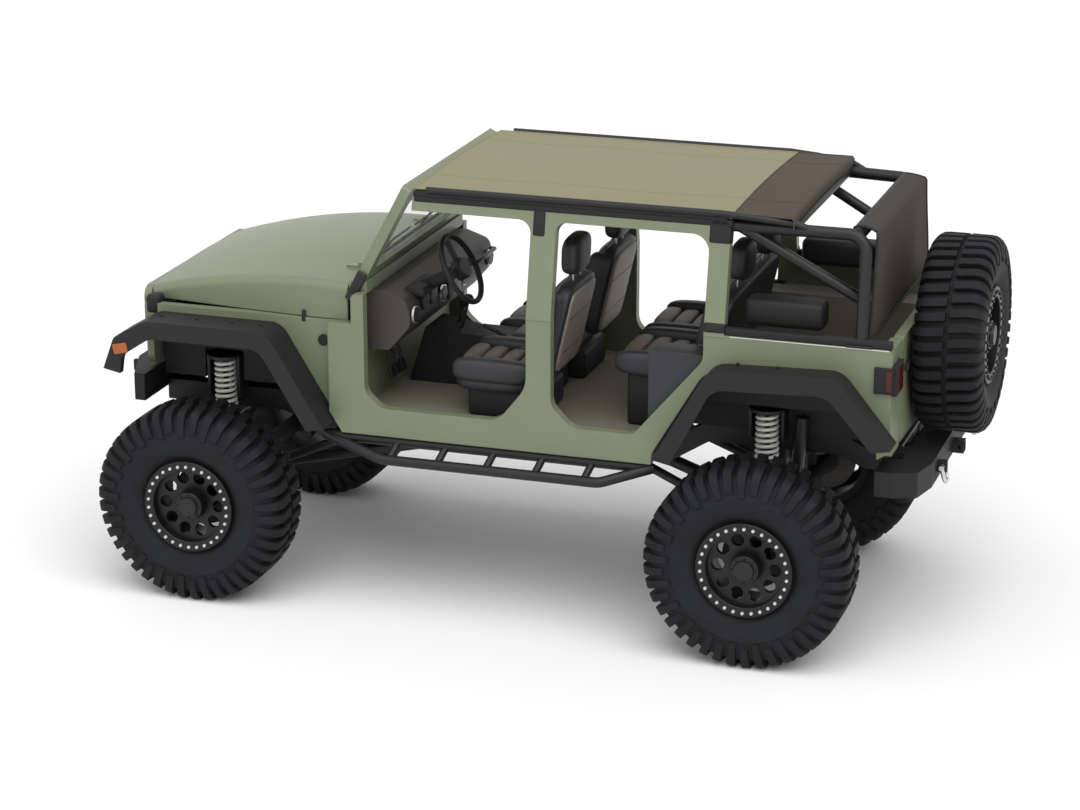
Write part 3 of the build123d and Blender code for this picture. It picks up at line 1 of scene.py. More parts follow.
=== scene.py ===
"""Looks of the lifted open off-road vehicle: paint, rubber, fabric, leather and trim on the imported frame.

Metres, in the row frame: +X forward, +Y to the vehicle's left, +Z up.
"""

import json
import math

import bmesh
import bpy
from mathutils import Matrix, Vector


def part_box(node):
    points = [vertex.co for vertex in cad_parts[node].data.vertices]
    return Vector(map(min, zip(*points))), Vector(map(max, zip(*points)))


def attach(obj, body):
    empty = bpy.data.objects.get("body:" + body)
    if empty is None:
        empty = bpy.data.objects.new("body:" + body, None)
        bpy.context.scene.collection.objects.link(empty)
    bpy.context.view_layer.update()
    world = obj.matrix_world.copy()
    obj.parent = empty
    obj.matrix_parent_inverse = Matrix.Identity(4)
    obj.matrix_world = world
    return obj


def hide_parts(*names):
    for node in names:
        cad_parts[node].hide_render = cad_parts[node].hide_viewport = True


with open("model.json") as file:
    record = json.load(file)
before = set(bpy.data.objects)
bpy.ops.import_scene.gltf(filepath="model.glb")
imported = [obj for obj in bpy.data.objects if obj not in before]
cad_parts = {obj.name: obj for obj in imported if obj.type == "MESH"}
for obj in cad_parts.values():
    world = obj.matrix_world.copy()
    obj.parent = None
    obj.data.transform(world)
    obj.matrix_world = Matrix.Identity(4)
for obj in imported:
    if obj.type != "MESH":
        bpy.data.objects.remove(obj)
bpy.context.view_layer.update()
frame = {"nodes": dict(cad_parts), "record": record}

# Places that the frame gives
CORNERS = ("front_left", "front_right", "rear_left", "rear_right")
TYRE_LOW, TYRE_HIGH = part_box("tyre_rear_left")
TYRE_RADIUS = (TYRE_HIGH.z - TYRE_LOW.z) / 2
REAR_AXLE_X = (TYRE_LOW.x + TYRE_HIGH.x) / 2
FRONT_AXLE_X = sum(corner.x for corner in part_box("tyre_front_left")) / 2
BODY_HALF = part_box("body_side_left")[1].y
BELT_Z = 1.668
RAIL_LOW, RAIL_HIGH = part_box("roof_rails")
ROOF_Z = RAIL_LOW.z
FLOOR_TOP = 1.0455


# Materials


def principled(name, color, rough, metal=0.0, coat=0.0, sheen=0.0, gloss=0.5):
    """A plain material and its shader node."""
    made = bpy.data.materials.new(name)
    made.use_nodes = True
    shader = made.node_tree.nodes["Principled BSDF"]
    shader.inputs["Base Color"].default_value = (*color, 1)
    shader.inputs["Roughness"].default_value = rough
    shader.inputs["Metallic"].default_value = metal
    shader.inputs["Coat Weight"].default_value = coat
    shader.inputs["Sheen Weight"].default_value = sheen
    shader.inputs["Specular IOR Level"].default_value = gloss
    made.diffuse_color = (*color, 1)
    return made, shader


def rounded(made, radius):
    """A normal that shades edges as if they were rounded to the radius."""
    bevel = made.node_tree.nodes.new("ShaderNodeBevel")
    bevel.samples = 4
    bevel.inputs["Radius"].default_value = radius
    return bevel.outputs["Normal"]


def bumpy(made, shader, scale, strength, distance, kind="ShaderNodeTexNoise", detail=4, soft_edge=0.0):
    """Adds a fine surface grain in the object's own metres."""
    nodes, links = made.node_tree.nodes, made.node_tree.links
    where = nodes.new("ShaderNodeTexCoord")
    texture = nodes.new(kind)
    texture.inputs["Scale"].default_value = scale
    if "Detail" in texture.inputs:
        texture.inputs["Detail"].default_value = detail
    bump = nodes.new("ShaderNodeBump")
    bump.inputs["Strength"].default_value = strength
    bump.inputs["Distance"].default_value = distance
    if soft_edge:
        links.new(rounded(made, soft_edge), bump.inputs["Normal"])
    links.new(where.outputs["Object"], texture.inputs["Vector"])
    height = "Fac" if "Fac" in texture.outputs else "Distance"
    links.new(texture.outputs[height], bump.inputs["Height"])
    links.new(bump.outputs["Normal"], shader.inputs["Normal"])


def mottled(made, shader, scale, light, dark):
    """Varies the colour a little between two tones."""
    nodes, links = made.node_tree.nodes, made.node_tree.links
    where = nodes.new("ShaderNodeTexCoord")
    noise = nodes.new("ShaderNodeTexNoise")
    noise.inputs["Scale"].default_value = scale
    noise.inputs["Detail"].default_value = 5
    ramp = nodes.new("ShaderNodeValToRGB")
    ramp.color_ramp.elements[0].position = 0.35
    ramp.color_ramp.elements[0].color = (*dark, 1)
    ramp.color_ramp.elements[1].position = 0.65
    ramp.color_ramp.elements[1].color = (*light, 1)
    links.new(where.outputs["Object"], noise.inputs["Vector"])
    links.new(noise.outputs["Fac"], ramp.inputs["Fac"])
    links.new(ramp.outputs["Color"], shader.inputs["Base Color"])


def sage_paint():
    made, shader = principled("sage_paint", (0.172, 0.195, 0.118), 0.45, coat=0.15)
    mottled(made, shader, 2.2, (0.178, 0.2, 0.121), (0.163, 0.188, 0.114))
    shader.inputs["Coat Roughness"].default_value = 0.3
    made.node_tree.links.new(rounded(made, 0.008), shader.inputs["Normal"])
    return made


def black_steel():
    made, shader = principled("black_steel", (0.01, 0.01, 0.011), 0.42, gloss=0.35)
    bumpy(made, shader, 380, 0.15, 0.0006, soft_edge=0.004)
    return made


def textured_plastic():
    made, shader = principled("textured_plastic", (0.0125, 0.0125, 0.0135), 0.6, gloss=0.3)
    bumpy(made, shader, 420, 0.35, 0.0008, soft_edge=0.008)
    return made


def tyre_rubber():
    made, shader = principled("tyre_rubber", (0.0075, 0.008, 0.0095), 0.72, gloss=0.25)
    mottled(made, shader, 9, (0.009, 0.0098, 0.0115), (0.0065, 0.007, 0.008))
    return made


def dark_casting():
    made, shader = principled("dark_casting", (0.04, 0.042, 0.046), 0.6, metal=0.3)
    bumpy(made, shader, 160, 0.3, 0.001)
    return made


def top_fabric():
    """Woven sage cloth of the top."""
    made, shader = principled("top_fabric", (0.27, 0.255, 0.16), 0.9, sheen=0.08, gloss=0.2)
    bumpy(made, shader, 900, 0.25, 0.0006, "ShaderNodeTexVoronoi")
    return made


# painted shade: dark brown cloth for the top's rear band, standing in for shadow on the top
def painted_shade_fabric():
    made, shader = principled("painted_shade_fabric", (0.086, 0.068, 0.056), 0.9, gloss=0.2)
    bumpy(made, shader, 900, 0.25, 0.0006, "ShaderNodeTexVoronoi")
    return made


def dark_fabric():
    made, shader = principled("dark_fabric", (0.055, 0.048, 0.044), 0.88, gloss=0.2)
    bumpy(made, shader, 700, 0.25, 0.0006, "ShaderNodeTexVoronoi")
    return made


def leather(name, color):
    made, shader = principled(name, color, 0.55)
    bumpy(made, shader, 260, 0.3, 0.0008, "ShaderNodeTexVoronoi")
    return made


def lens(name, color, alpha):
    made, shader = principled(name, color, 0.25, gloss=0.4)
    shader.inputs["Alpha"].default_value = alpha
    return made


def clear_glass():
    made, shader = principled("clear_glass", (0.75, 0.8, 0.78), 0.03)
    shader.inputs["Alpha"].default_value = 0.16
    return made


PAINT = sage_paint()
STEEL = black_steel()
PLASTIC = textured_plastic()
RUBBER = tyre_rubber()
SILVER = principled("silver_steel", (0.62, 0.62, 0.6), 0.32, metal=0.9)[0]
WHEEL = principled("wheel_black", (0.005, 0.005, 0.006), 0.38, gloss=0.35)[0]
IRON = principled("brake_iron", (0.07, 0.065, 0.062), 0.5, metal=0.6)[0]
CASTING = dark_casting()
TOP = top_fabric()
# painted shade for the rear band of the top
TOP_SHADE = painted_shade_fabric()
CURTAIN = dark_fabric()
SEAT_DARK = leather("seat_leather", (0.02, 0.021, 0.024))
SEAT_INSERT = leather("seat_insert", (0.105, 0.076, 0.059))
SEAT_BACK = leather("seat_back", (0.22, 0.185, 0.16))
PIPING = leather("seat_piping", (0.19, 0.15, 0.12))
DASH = leather("dash_cover", (0.038, 0.032, 0.028))
RED = lens("red_lens", (0.06, 0.003, 0.003), 1)
AMBER = lens("amber_lens", (0.36, 0.1, 0.022), 1)
LAMP = lens("lamp_glass", (0.72, 0.74, 0.76), 1)
GLASS = clear_glass()
ZINC = principled("bolt_zinc", (0.6, 0.6, 0.58), 0.4, metal=0.35)[0]
SPRING = principled("spring_white", (0.78, 0.78, 0.74), 0.38, metal=0.15)[0]
FLOOR = principled("dusty_floor", (0.2, 0.188, 0.145), 0.8, gloss=0.2)[0]

SLOT_LOOKS = {
    "sage_paint": PAINT,
    "black_steel": STEEL,
    "silver_steel": SILVER,
    "dark_casting": CASTING,
    "brake_iron": IRON,
    "wheel_black": WHEEL,
    "tyre_rubber": RUBBER,
    "black_plastic": PLASTIC,
    "brown_plastic": DASH,
    "seat_leather": SEAT_DARK,
    "top_fabric": TOP,
    "dark_fabric": CURTAIN,
    "red_lens": RED,
    "lamp_glass": LAMP,
    "clear_glass": GLASS,
}
# nodes that don't take the look of their slot
NODE_LOOKS = {"tail_lamps": PLASTIC, "steering_wheel": PLASTIC, "floor_pan": FLOOR}


def dress_frame():
    """Gives every CAD node its own look, or else that of its slot."""
    for row in frame["record"]["subparts"]:
        node = frame["nodes"][row["node"]]
        node.data.materials.clear()
        node.data.materials.append(NODE_LOOKS.get(row["node"], SLOT_LOOKS[row["material_slot"]]))


# Making pieces


def place(name, mesh, material, body):
    """A piece from a bmesh or mesh, riding on a CAD body."""
    if isinstance(mesh, bmesh.types.BMesh):
        data = bpy.data.meshes.new(name)
        mesh.to_mesh(data)
        mesh.free()
    else:
        data = mesh
    piece = bpy.data.objects.new(name, data)
    bpy.context.collection.objects.link(piece)
    data.materials.append(material)
    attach(piece, body)
    return piece


def smooth(piece, angle=40):
    """Shades a piece smooth, but keeps edges sharper than the angle."""
    for face in piece.data.polygons:
        face.use_smooth = True
    piece.data.set_sharp_from_angle(angle=math.radians(angle))
    return piece


def add_box(mesh, centre, size, turn=None, round_off=0.0):
    """A box in a bmesh, with its edges rounded if asked."""
    made = bmesh.ops.create_cube(mesh, size=1)
    verts = made["verts"]
    matrix = Matrix.Translation(centre) @ (turn or Matrix()) @ Matrix.Diagonal((*size, 1))
    bmesh.ops.transform(mesh, matrix=matrix, verts=verts)
    if round_off:
        edges = {edge for vert in verts for edge in vert.link_edges}
        bmesh.ops.bevel(mesh, geom=list(edges), offset=round_off, segments=3, profile=0.5, affect="EDGES")


def add_rod(mesh, start, end, radius, sides=16, end_radius=None):
    """A round bar between two points in a bmesh."""
    start, end = Vector(start), Vector(end)
    line = end - start
    turn = line.to_track_quat("Z", "Y").to_matrix().to_4x4()
    matrix = Matrix.Translation((start + end) / 2) @ turn
    bmesh.ops.create_cone(
        mesh,
        cap_ends=True,
        segments=sides,
        radius1=radius,
        radius2=radius if end_radius is None else end_radius,
        depth=line.length,
        matrix=matrix,
    )


def tube(name, points, radius, material, body, cyclic=False):
    """A round tube along a smooth curve, as a mesh."""
    curve = bpy.data.curves.new(name, "CURVE")
    curve.dimensions = "3D"
    curve.bevel_depth = radius
    curve.bevel_resolution = 3
    curve.use_fill_caps = not cyclic
    spline = curve.splines.new("POLY")
    spline.points.add(len(points) - 1)
    for point, place_at in zip(spline.points, points):
        point.co = (*place_at, 1)
    spline.use_cyclic_u = cyclic
    holder = bpy.data.objects.new(name, curve)
    mesh = bpy.data.meshes.new_from_object(holder)
    bpy.data.objects.remove(holder)
    bpy.data.curves.remove(curve)
    return smooth(place(name, mesh, material, body), 60)


def both_sides(points):
    """The points, then their mirror images on the vehicle's right."""
    return [points, [(x, -y, z) for x, y, z in points]]


# Camera, light and floor

PHOTO_WIDTH = 1080
FOCAL_PIXELS = 3046
CAMERA_AT = (-4.692, 14.756, 5.998)
CAMERA_YAW = 0.3155
CAMERA_PITCH = 0.3151
SENSOR = 36


def aim_camera():
    data = bpy.data.cameras.new("camera")
    data.sensor_width = SENSOR
    data.lens = FOCAL_PIXELS * SENSOR / PHOTO_WIDTH
    camera = bpy.data.objects.new("camera", data)
    bpy.context.collection.objects.link(camera)
    ahead = Vector(
        (
            math.cos(CAMERA_PITCH) * math.sin(CAMERA_YAW),
            -math.cos(CAMERA_PITCH) * math.cos(CAMERA_YAW),
            -math.sin(CAMERA_PITCH),
        )
    )
    camera.location = CAMERA_AT
    camera.rotation_euler = ahead.to_track_quat("-Z", "Y").to_euler()
    bpy.context.scene.camera = camera


def soft_sun(name, towards, strength, spread):
    """A far lamp with a wide disc, so that its shadows are soft."""
    data = bpy.data.lights.new(name, "SUN")
    data.energy = strength
    data.angle = math.radians(spread)
    lamp = bpy.data.objects.new(name, data)
    lamp.rotation_euler = Vector(towards).to_track_quat("-Z", "Y").to_euler()
    bpy.context.collection.objects.link(lamp)


def studio():
    """Pale floor, white surround and soft lamps."""
    bpy.context.scene.view_settings.view_transform = "Standard"
    world = bpy.data.worlds.new("studio")
    bpy.context.scene.world = world
    world.use_nodes = True
    nodes, links = world.node_tree.nodes, world.node_tree.links
    glow = nodes["Background"]
    glow.inputs["Color"].default_value = (1, 1, 1, 1)
    glow.inputs["Strength"].default_value = 0.5
    seen = nodes.new("ShaderNodeBackground")
    seen.inputs["Color"].default_value = (1, 1, 1, 1)
    seen.inputs["Strength"].default_value = 1.0
    paths = nodes.new("ShaderNodeLightPath")
    mix = nodes.new("ShaderNodeMixShader")
    white = paths.outputs["Is Camera Ray"]
    for kind in ("Is Glossy Ray", "Is Transmission Ray"):
        either = nodes.new("ShaderNodeMath")
        either.operation = "MAXIMUM"
        links.new(white, either.inputs[0])
        links.new(paths.outputs[kind], either.inputs[1])
        white = either.outputs["Value"]
    links.new(white, mix.inputs["Fac"])
    links.new(glow.outputs["Background"], mix.inputs[1])
    links.new(seen.outputs["Background"], mix.inputs[2])
    links.new(mix.outputs["Shader"], nodes["World Output"].inputs["Surface"])

    floor_mesh = bmesh.new()
    bmesh.ops.create_grid(floor_mesh, x_segments=1, y_segments=1, size=60)
    data = bpy.data.meshes.new("floor")
    floor_mesh.to_mesh(data)
    floor_mesh.free()
    floor = bpy.data.objects.new("floor", data)
    floor.location.z = -0.001
    bpy.context.collection.objects.link(floor)
    data.materials.append(principled("floor_white", (0.97, 0.97, 0.97), 0.95, gloss=0.1)[0])
    soft_sun("key", (0.35, -0.5, -1), 2.0, 60)
    soft_sun("fill", (-0.6, -0.9, -0.7), 0.5, 80)


# Wheels

RIM_RADIUS = 0.224
TYRE_LUGS = 42
LUG_WIDTH = 0.6
TYRE_STEPS = 126
BOLT_COUNT = 30
BOLT_CIRCLE = 0.223
RING_FACE = 0.159

HUB_BOLTS = 8
# radius and distance along the axle of the rubber under the lugs, from the bead to the middle of the tread
CARCASS = [
    (0.2245, 0.125),
    (0.254, 0.1252),
    (0.262, 0.136),
    (0.286, 0.152),
    (0.33, 0.167),
    (0.376, 0.1735),
    (0.381, 0.1705),
    (0.42, 0.168),
    (0.455, 0.158),
    (0.482, 0.143),
    (0.496, 0.115),
    (0.498, 0.05),
    (0.498, 0.0),
]
# the lug's outer face, from the middle of the tread over the shoulder and down the sidewall
LUG_FACE = [(0.53, 0.012), (0.53, 0.1), (0.527, 0.128), (0.512, 0.151), (0.49, 0.166), (0.45, 0.1755)]
LUG_ENDS = [(0.392, 0.179), (0.416, 0.1785)]
# the lug's foot, sunk in the carcass, from the sidewall back to the middle of the tread
LUG_FOOT = [(0.45, 0.155), (0.48, 0.14), (0.494, 0.11), (0.494, 0.012)]
# half width of the lug at its face and at its foot, as shares of the mean
FACE_SHARE = 0.92
FOOT_SHARE = 1.08


def wheel_spots():
    """(name, body, tyre node, matrix from the wheel's own frame, tyre radius); +Y there points outwards."""
    spots = []
    for corner in CORNERS:
        low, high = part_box(f"tyre_{corner}")
        centre = (low + high) / 2
        turn = 0 if centre.y > 0 else math.pi
        matrix = Matrix.Translation(centre) @ Matrix.Rotation(turn, 4, "Z")
        spots.append((corner, f"wheel_{corner}", f"tyre_{corner}", matrix, (high.z - low.z) / 2))
    low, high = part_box("spare_tyre")
    matrix = Matrix.Translation((low + high) / 2) @ Matrix.Rotation(math.pi / 2, 4, "Z")
    spots.append(("spare", "tailgate", "spare_tyre", matrix, (high.z - low.z) / 2))
    return spots


def around(radius, along, angle):
    return Vector((radius * math.sin(angle), along, radius * math.cos(angle)))


def stretch_radius(radius, tyre_radius):
    """Moves a radius of the full tyre to that of a smaller one on the same rim."""
    return RIM_RADIUS + (radius - RIM_RADIUS) * (tyre_radius - RIM_RADIUS) / (TYRE_RADIUS - RIM_RADIUS)


def add_carcass(mesh, tyre_radius):
    profile = CARCASS + [(radius, -along) for radius, along in reversed(CARCASS[:-1])]
    rings = []
    for radius, along in profile:
        radius = stretch_radius(radius, tyre_radius)
        ring = [mesh.verts.new(around(radius, along, math.tau * i / TYRE_STEPS)) for i in range(TYRE_STEPS)]
        rings.append(ring)
    for one, two in zip(rings, rings[1:] + rings[:1]):
        for i in range(TYRE_STEPS):
            j = (i + 1) % TYRE_STEPS
            mesh.faces.new((one[i], two[i], two[j], one[j]))


def add_lug(mesh, tyre_radius, angle, side, end):
    """One tread block that runs over the shoulder and down the sidewall, narrower at its face."""
    face = [*LUG_FACE, end]
    foot = [(end[0] - 0.006, end[1] - 0.012), *LUG_FOOT]
    half = math.pi / TYRE_LUGS * LUG_WIDTH
    rows = []
    for edge in (-1, 1):
        row = []
        for radius, along in face + foot:
            flank = FACE_SHARE if (radius, along) in face else FOOT_SHARE
            slant = 0.5 * half * (0.1 - min(along, 0.1)) / 0.1
            turn = angle + edge * half * flank + side * slant
            place_at = around(stretch_radius(radius, tyre_radius), side * along, turn)
            row.append(mesh.verts.new(place_at))
        rows.append(row)
    count = len(rows[0])
    for i in range(count):
        j = (i + 1) % count
        mesh.faces.new((rows[0][i], rows[0][j], rows[1][j], rows[1][i]))
    upper = len(face)
    for row in rows:
        for i in range(upper - 1):
            across = count - 1 - i
            near = max(across, upper)
            after = max(across - 1, upper)
            corners = [row[i], row[i + 1], row[after]]
            if near != after:
                corners.append(row[near])
            mesh.faces.new(corners)


def add_tyres():
    for name, body, node, matrix, radius in wheel_spots():
        mesh = bmesh.new()
        add_carcass(mesh, radius)
        for step in range(TYRE_LUGS):
            for side in (1, -1):
                angle = math.tau * (step + (0.25 if side > 0 else 0.75)) / TYRE_LUGS
                add_lug(mesh, radius, angle, side, LUG_ENDS[step % 2])
        bmesh.ops.recalc_face_normals(mesh, faces=mesh.faces)
        mesh.transform(matrix)
        piece = smooth(place(f"{name}_lugged_tyre", mesh, RUBBER, body), 32)
        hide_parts(node)


def add_wheel_bolts():
    """Bright clamp bolts round each rim, and a dark cap with its own small bolts."""
    for name, body, _node, matrix, _radius in wheel_spots():
        bolts = bmesh.new()
        for step in range(BOLT_COUNT):
            angle = math.tau * step / BOLT_COUNT
            foot = around(BOLT_CIRCLE, RING_FACE - 0.004, angle)
            head = around(BOLT_CIRCLE, RING_FACE + 0.009, angle)
            add_rod(bolts, foot, head, 0.0092, 8, 0.008)
        bolts.transform(matrix)
        look, finish = (STEEL, "black_steel") if name == "spare" else (ZINC, "silver_steel")
        place(f"{name}_clamp_bolts", bolts, look, body)
        cap = bmesh.new()
        add_rod(cap, (0, 0.14, 0), (0, 0.166, 0), 0.056, 40, 0.05)
        for step in range(HUB_BOLTS):
            angle = math.tau * step / HUB_BOLTS
            add_rod(cap, around(0.064, 0.138, angle), around(0.064, 0.156, angle), 0.005, 6)
        cap.transform(matrix)
        smooth(place(f"{name}_hub_cap", cap, STEEL, body), 30)


# Springs and dampers

SPRING_LOW, SPRING_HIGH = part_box("coil_springs")
SPRING_TURNS = 18
SPRING_COIL = 0.053
SPRING_WIRE = 0.0095
TURN_STEPS = 18
DAMPER_LENGTH = 0.36
SEAT_THICK = 0.012


def add_springs():
    """Four bright coils round dark damper bodies."""
    low, high = SPRING_LOW.z + SPRING_WIRE, SPRING_HIGH.z - SPRING_WIRE
    first = None
    for x in (SPRING_HIGH.x - SPRING_COIL - SPRING_WIRE, SPRING_LOW.x + SPRING_COIL + SPRING_WIRE):
        for y in (SPRING_HIGH.y - SPRING_COIL - SPRING_WIRE, SPRING_LOW.y + SPRING_COIL + SPRING_WIRE):
            points = []
            for step in range(SPRING_TURNS * TURN_STEPS + 1):
                angle = math.tau * step / TURN_STEPS
                rise = low + (high - low) * step / (SPRING_TURNS * TURN_STEPS)
                points.append((x + SPRING_COIL * math.cos(angle), y + SPRING_COIL * math.sin(angle), rise))
            label = f"{'front' if x > 0 else 'rear'}_{'left' if y > 0 else 'right'}"
            coil = tube(f"coil_{label}", points, SPRING_WIRE, SPRING, "chassis")
            first = first or coil
            damper = bmesh.new()
            neck = SPRING_LOW.z + DAMPER_LENGTH
            add_rod(damper, (x, y, SPRING_LOW.z), (x, y, neck), 0.033, 24)
            add_rod(damper, (x, y, neck), (x, y, SPRING_HIGH.z), 0.014, 16)
            for z in (SPRING_LOW.z, SPRING_HIGH.z - SEAT_THICK):
                add_rod(damper, (x, y, z), (x, y, z + SEAT_THICK), 0.06, 28)
            smooth(place(f"damper_{label}", damper, STEEL, "chassis"), 40)
    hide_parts("coil_springs")


# Padded seats


def add_pillow(mesh, centre, size, turn=None, power=5.0, cuts=7):
    """A crowned, round-cornered pad, made from a cube's grid."""
    pad = bmesh.new()
    bmesh.ops.create_cube(pad, size=2)
    bmesh.ops.subdivide_edges(pad, edges=list(pad.edges), cuts=cuts, use_grid_fill=True)
    matrix = Matrix.Translation(centre) @ (turn or Matrix())
    for vert in pad.verts:
        spread = sum(abs(value) ** power for value in vert.co) ** (1 / power)
        shaped = [value / spread * extent / 2 for value, extent in zip(vert.co, size)]
        vert.co = matrix @ Vector(shaped)
    data = bpy.data.meshes.new("pad")
    pad.to_mesh(data)
    pad.free()
    mesh.from_mesh(data)
    bpy.data.meshes.remove(data)


# front edge x, middle y, width, underside z, cushion top z, back top z, headrest half width, places to sit,
# rear and front x of the base
SEATS = [
    ("front_seat_left", "front_seats", 0.41, 0.38, 0.5, 1.17, 1.34, 1.82, 0.14, 1, (-0.07, 0.33)),
    ("front_seat_right", "front_seats", 0.41, -0.38, 0.5, 1.17, 1.34, 1.82, 0.14, 1, (-0.07, 0.33)),
    ("rear_seat", "rear_bench", -0.44, 0.0, 1.06, 1.3, 1.43, 1.83, 0.12, 2, (-0.697, -0.5)),
]
RECLINE = math.atan2(0.105, 0.454)
CUSHION_DEPTH = 0.43
CUSHION_CHANNELS = 4
BACK_CHANNELS = 5


def add_seats():
    for row in SEATS:
        add_seat(*row)


def add_seat(name, node, front_x, mid_y, width, low_z, cushion_z, back_top, head_half, places, base_x):
    """Seat with dark bolsters, channelled inserts, a headrest for each place and pale piping."""
    lean = Matrix.Rotation(-RECLINE, 4, "Y")
    dark, insert, posts = bmesh.new(), bmesh.new(), bmesh.new()
    bolster = 0.1 if places == 1 else 0.085
    hip = Vector((front_x - CUSHION_DEPTH - 0.02, mid_y, cushion_z - 0.01))
    rise = back_top - cushion_z
    back_length = rise / math.cos(RECLINE)

    def on_back(out, across, up):
        """A point on the reclined back: out to the front, across, and up from the hip."""
        return hip + lean @ Vector((out, 0, up)) + Vector((0, across, 0))

    base_height = cushion_z - low_z
    middle_x = front_x - CUSHION_DEPTH / 2
    cushion_size = (CUSHION_DEPTH, width - 0.03, base_height * 0.8)
    add_pillow(dark, (middle_x, mid_y, low_z + base_height * 0.42), cushion_size)
    shell_size = (0.085, width - 0.02, back_length)
    add_pillow(dark, on_back(-0.06, 0, back_length / 2 - 0.02), shell_size, lean, 7)
    share = width / places
    for seat in range(places):
        y = (seat - (places - 1) / 2) * share
        inner = share - 2 * bolster - 0.01
        for edge in (-1, 1):
            side_y = y + edge * (share / 2 - bolster / 2 - 0.004)
            side_at = (middle_x, mid_y + side_y, cushion_z - 0.045)
            add_pillow(dark, side_at, (CUSHION_DEPTH, bolster, 0.13), None, 3.6)
            side_at = on_back(-0.022, side_y, back_length * 0.47)
            add_pillow(dark, side_at, (0.14, bolster, back_length * 0.86), lean, 3.6)
        step = (CUSHION_DEPTH - 0.03) / CUSHION_CHANNELS
        for i in range(CUSHION_CHANNELS):
            at = (front_x - 0.015 - step * (i + 0.5), mid_y + y, cushion_z - 0.03 - 0.006 * i)
            add_pillow(insert, at, (step * 1.02, inner, 0.075), None, 3.2, 5)
        step = back_length * 0.84 / BACK_CHANNELS
        for i in range(BACK_CHANNELS):
            at = on_back(-0.012, y, back_length * 0.05 + step * (i + 0.5))
            add_pillow(insert, at, (0.075, inner, step * 1.02), lean, 3.2, 5)
        head = Vector((front_x - 0.606, mid_y + y, back_top + 0.09))
        add_pillow(dark, head, (0.105, head_half * 2, 0.2), Matrix.Rotation(-0.05, 4, "Y"), 3.6)
        add_pillow(insert, head + Vector((0.036, 0, 0)), (0.05, head_half * 1.35, 0.14), None, 3.2, 5)
        for edge in (-1, 1):
            foot = on_back(-0.06, y + edge * 0.06, back_length - 0.05)
            add_rod(posts, foot, head + Vector((0, edge * 0.06, -0.03)), 0.006, 12)
    shell = smooth(place(f"{name}_shell", dark, SEAT_DARK, "chassis"), 60)
    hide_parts(node)
    smooth(place(f"{name}_inserts", insert, SEAT_INSERT, "chassis"), 60)
    smooth(place(f"{name}_posts", posts, SILVER, "chassis"), 40)
    base = bmesh.new()
    base_at = (sum(base_x) / 2, mid_y, (FLOOR_TOP + low_z) / 2 + 0.015)
    add_box(base, base_at, (base_x[1] - base_x[0], width - 0.1, low_z - FLOOR_TOP + 0.03), None, 0.02)
    smooth(place(f"{name}_base", base, PLASTIC, "chassis"), 40)
    if places == 1:
        rear = bmesh.new()
        panel_size = (0.03, width - 0.09, back_length * 0.9)
        add_pillow(rear, on_back(-0.098, 0, back_length * 0.46), panel_size, lean, 9)
        smooth(place(f"{name}_back_panel", rear, SEAT_BACK, "chassis"), 60)
        for up in (0.24, 0.62):
            ends = [on_back(-0.1135, side * (width / 2 - 0.07), back_length * up) for side in (-1, 1)]
            tube(f"{name}_back_seam", ends, 0.0025, STEEL, "chassis")
    rim = []
    half, corner = width / 2 - 0.022, 0.07
    top = back_length - 0.03
    corners = [(-half, 0.03, 0.012), (half, 0.03, 0.012), (half, top, corner), (-half, top, corner)]
    for i, (across, up, bend) in enumerate(corners):
        out_y, out_z = (-1, 1, 1, -1)[i], (-1, -1, 1, 1)[i]
        for part in range(7):
            angle = math.radians((180, 270, 0, 90)[i] + 15 * part)
            bend_y = across - out_y * bend + bend * math.cos(angle)
            bend_z = up - out_z * bend + bend * math.sin(angle)
            rim.append(on_back(-0.02, bend_y, bend_z))
    tube(f"{name}_piping", rim, 0.0045, PIPING, "chassis", True)


# Fabric

TOP_LOW, TOP_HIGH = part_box("soft_top")
# where the top's rear band of painted shade begins
SHADE_BAND_X = -1.1
FABRIC_THICK = 0.004
HEADER_Z = 2.2475
# the top's slack at mid bay, its crown, and what hangs past its box at the front and rear
TOP_SLACK = 0.009
TOP_CROWN = 0.021
SEAM_Y = 0.42


def top_height(x, y):
    """Height of the stretched top: crowned across, and slack between its bows."""
    half = TOP_HIGH.y
    edge = TOP_HIGH.z - 0.022
    crown = TOP_CROWN * (1 - (y / half) ** 2)
    slack = 0.0
    bows = (TOP_HIGH.x, -0.126, -1.038, TOP_LOW.x)
    for front, rear in zip(bows, bows[1:]):
        if rear <= x <= front:
            slack = TOP_SLACK * math.sin(math.pi * (front - x) / (front - rear)) ** 2
    return edge + crown - slack * (1 - (y / half) ** 4)


def cloth_grid(name, rows, material, body, thickness):
    """A smooth sheet of cloth through rows of points."""
    mesh = bmesh.new()
    grid = [[mesh.verts.new(point) for point in row] for row in rows]
    for one, two in zip(grid, grid[1:]):
        for i in range(len(one) - 1):
            mesh.faces.new((one[i], one[i + 1], two[i + 1], two[i]))
    piece = smooth(place(name, mesh, material, body), 70)
    thick = piece.modifiers.new("thickness", "SOLIDIFY")
    thick.thickness = thickness
    thick.offset = 0
    return piece


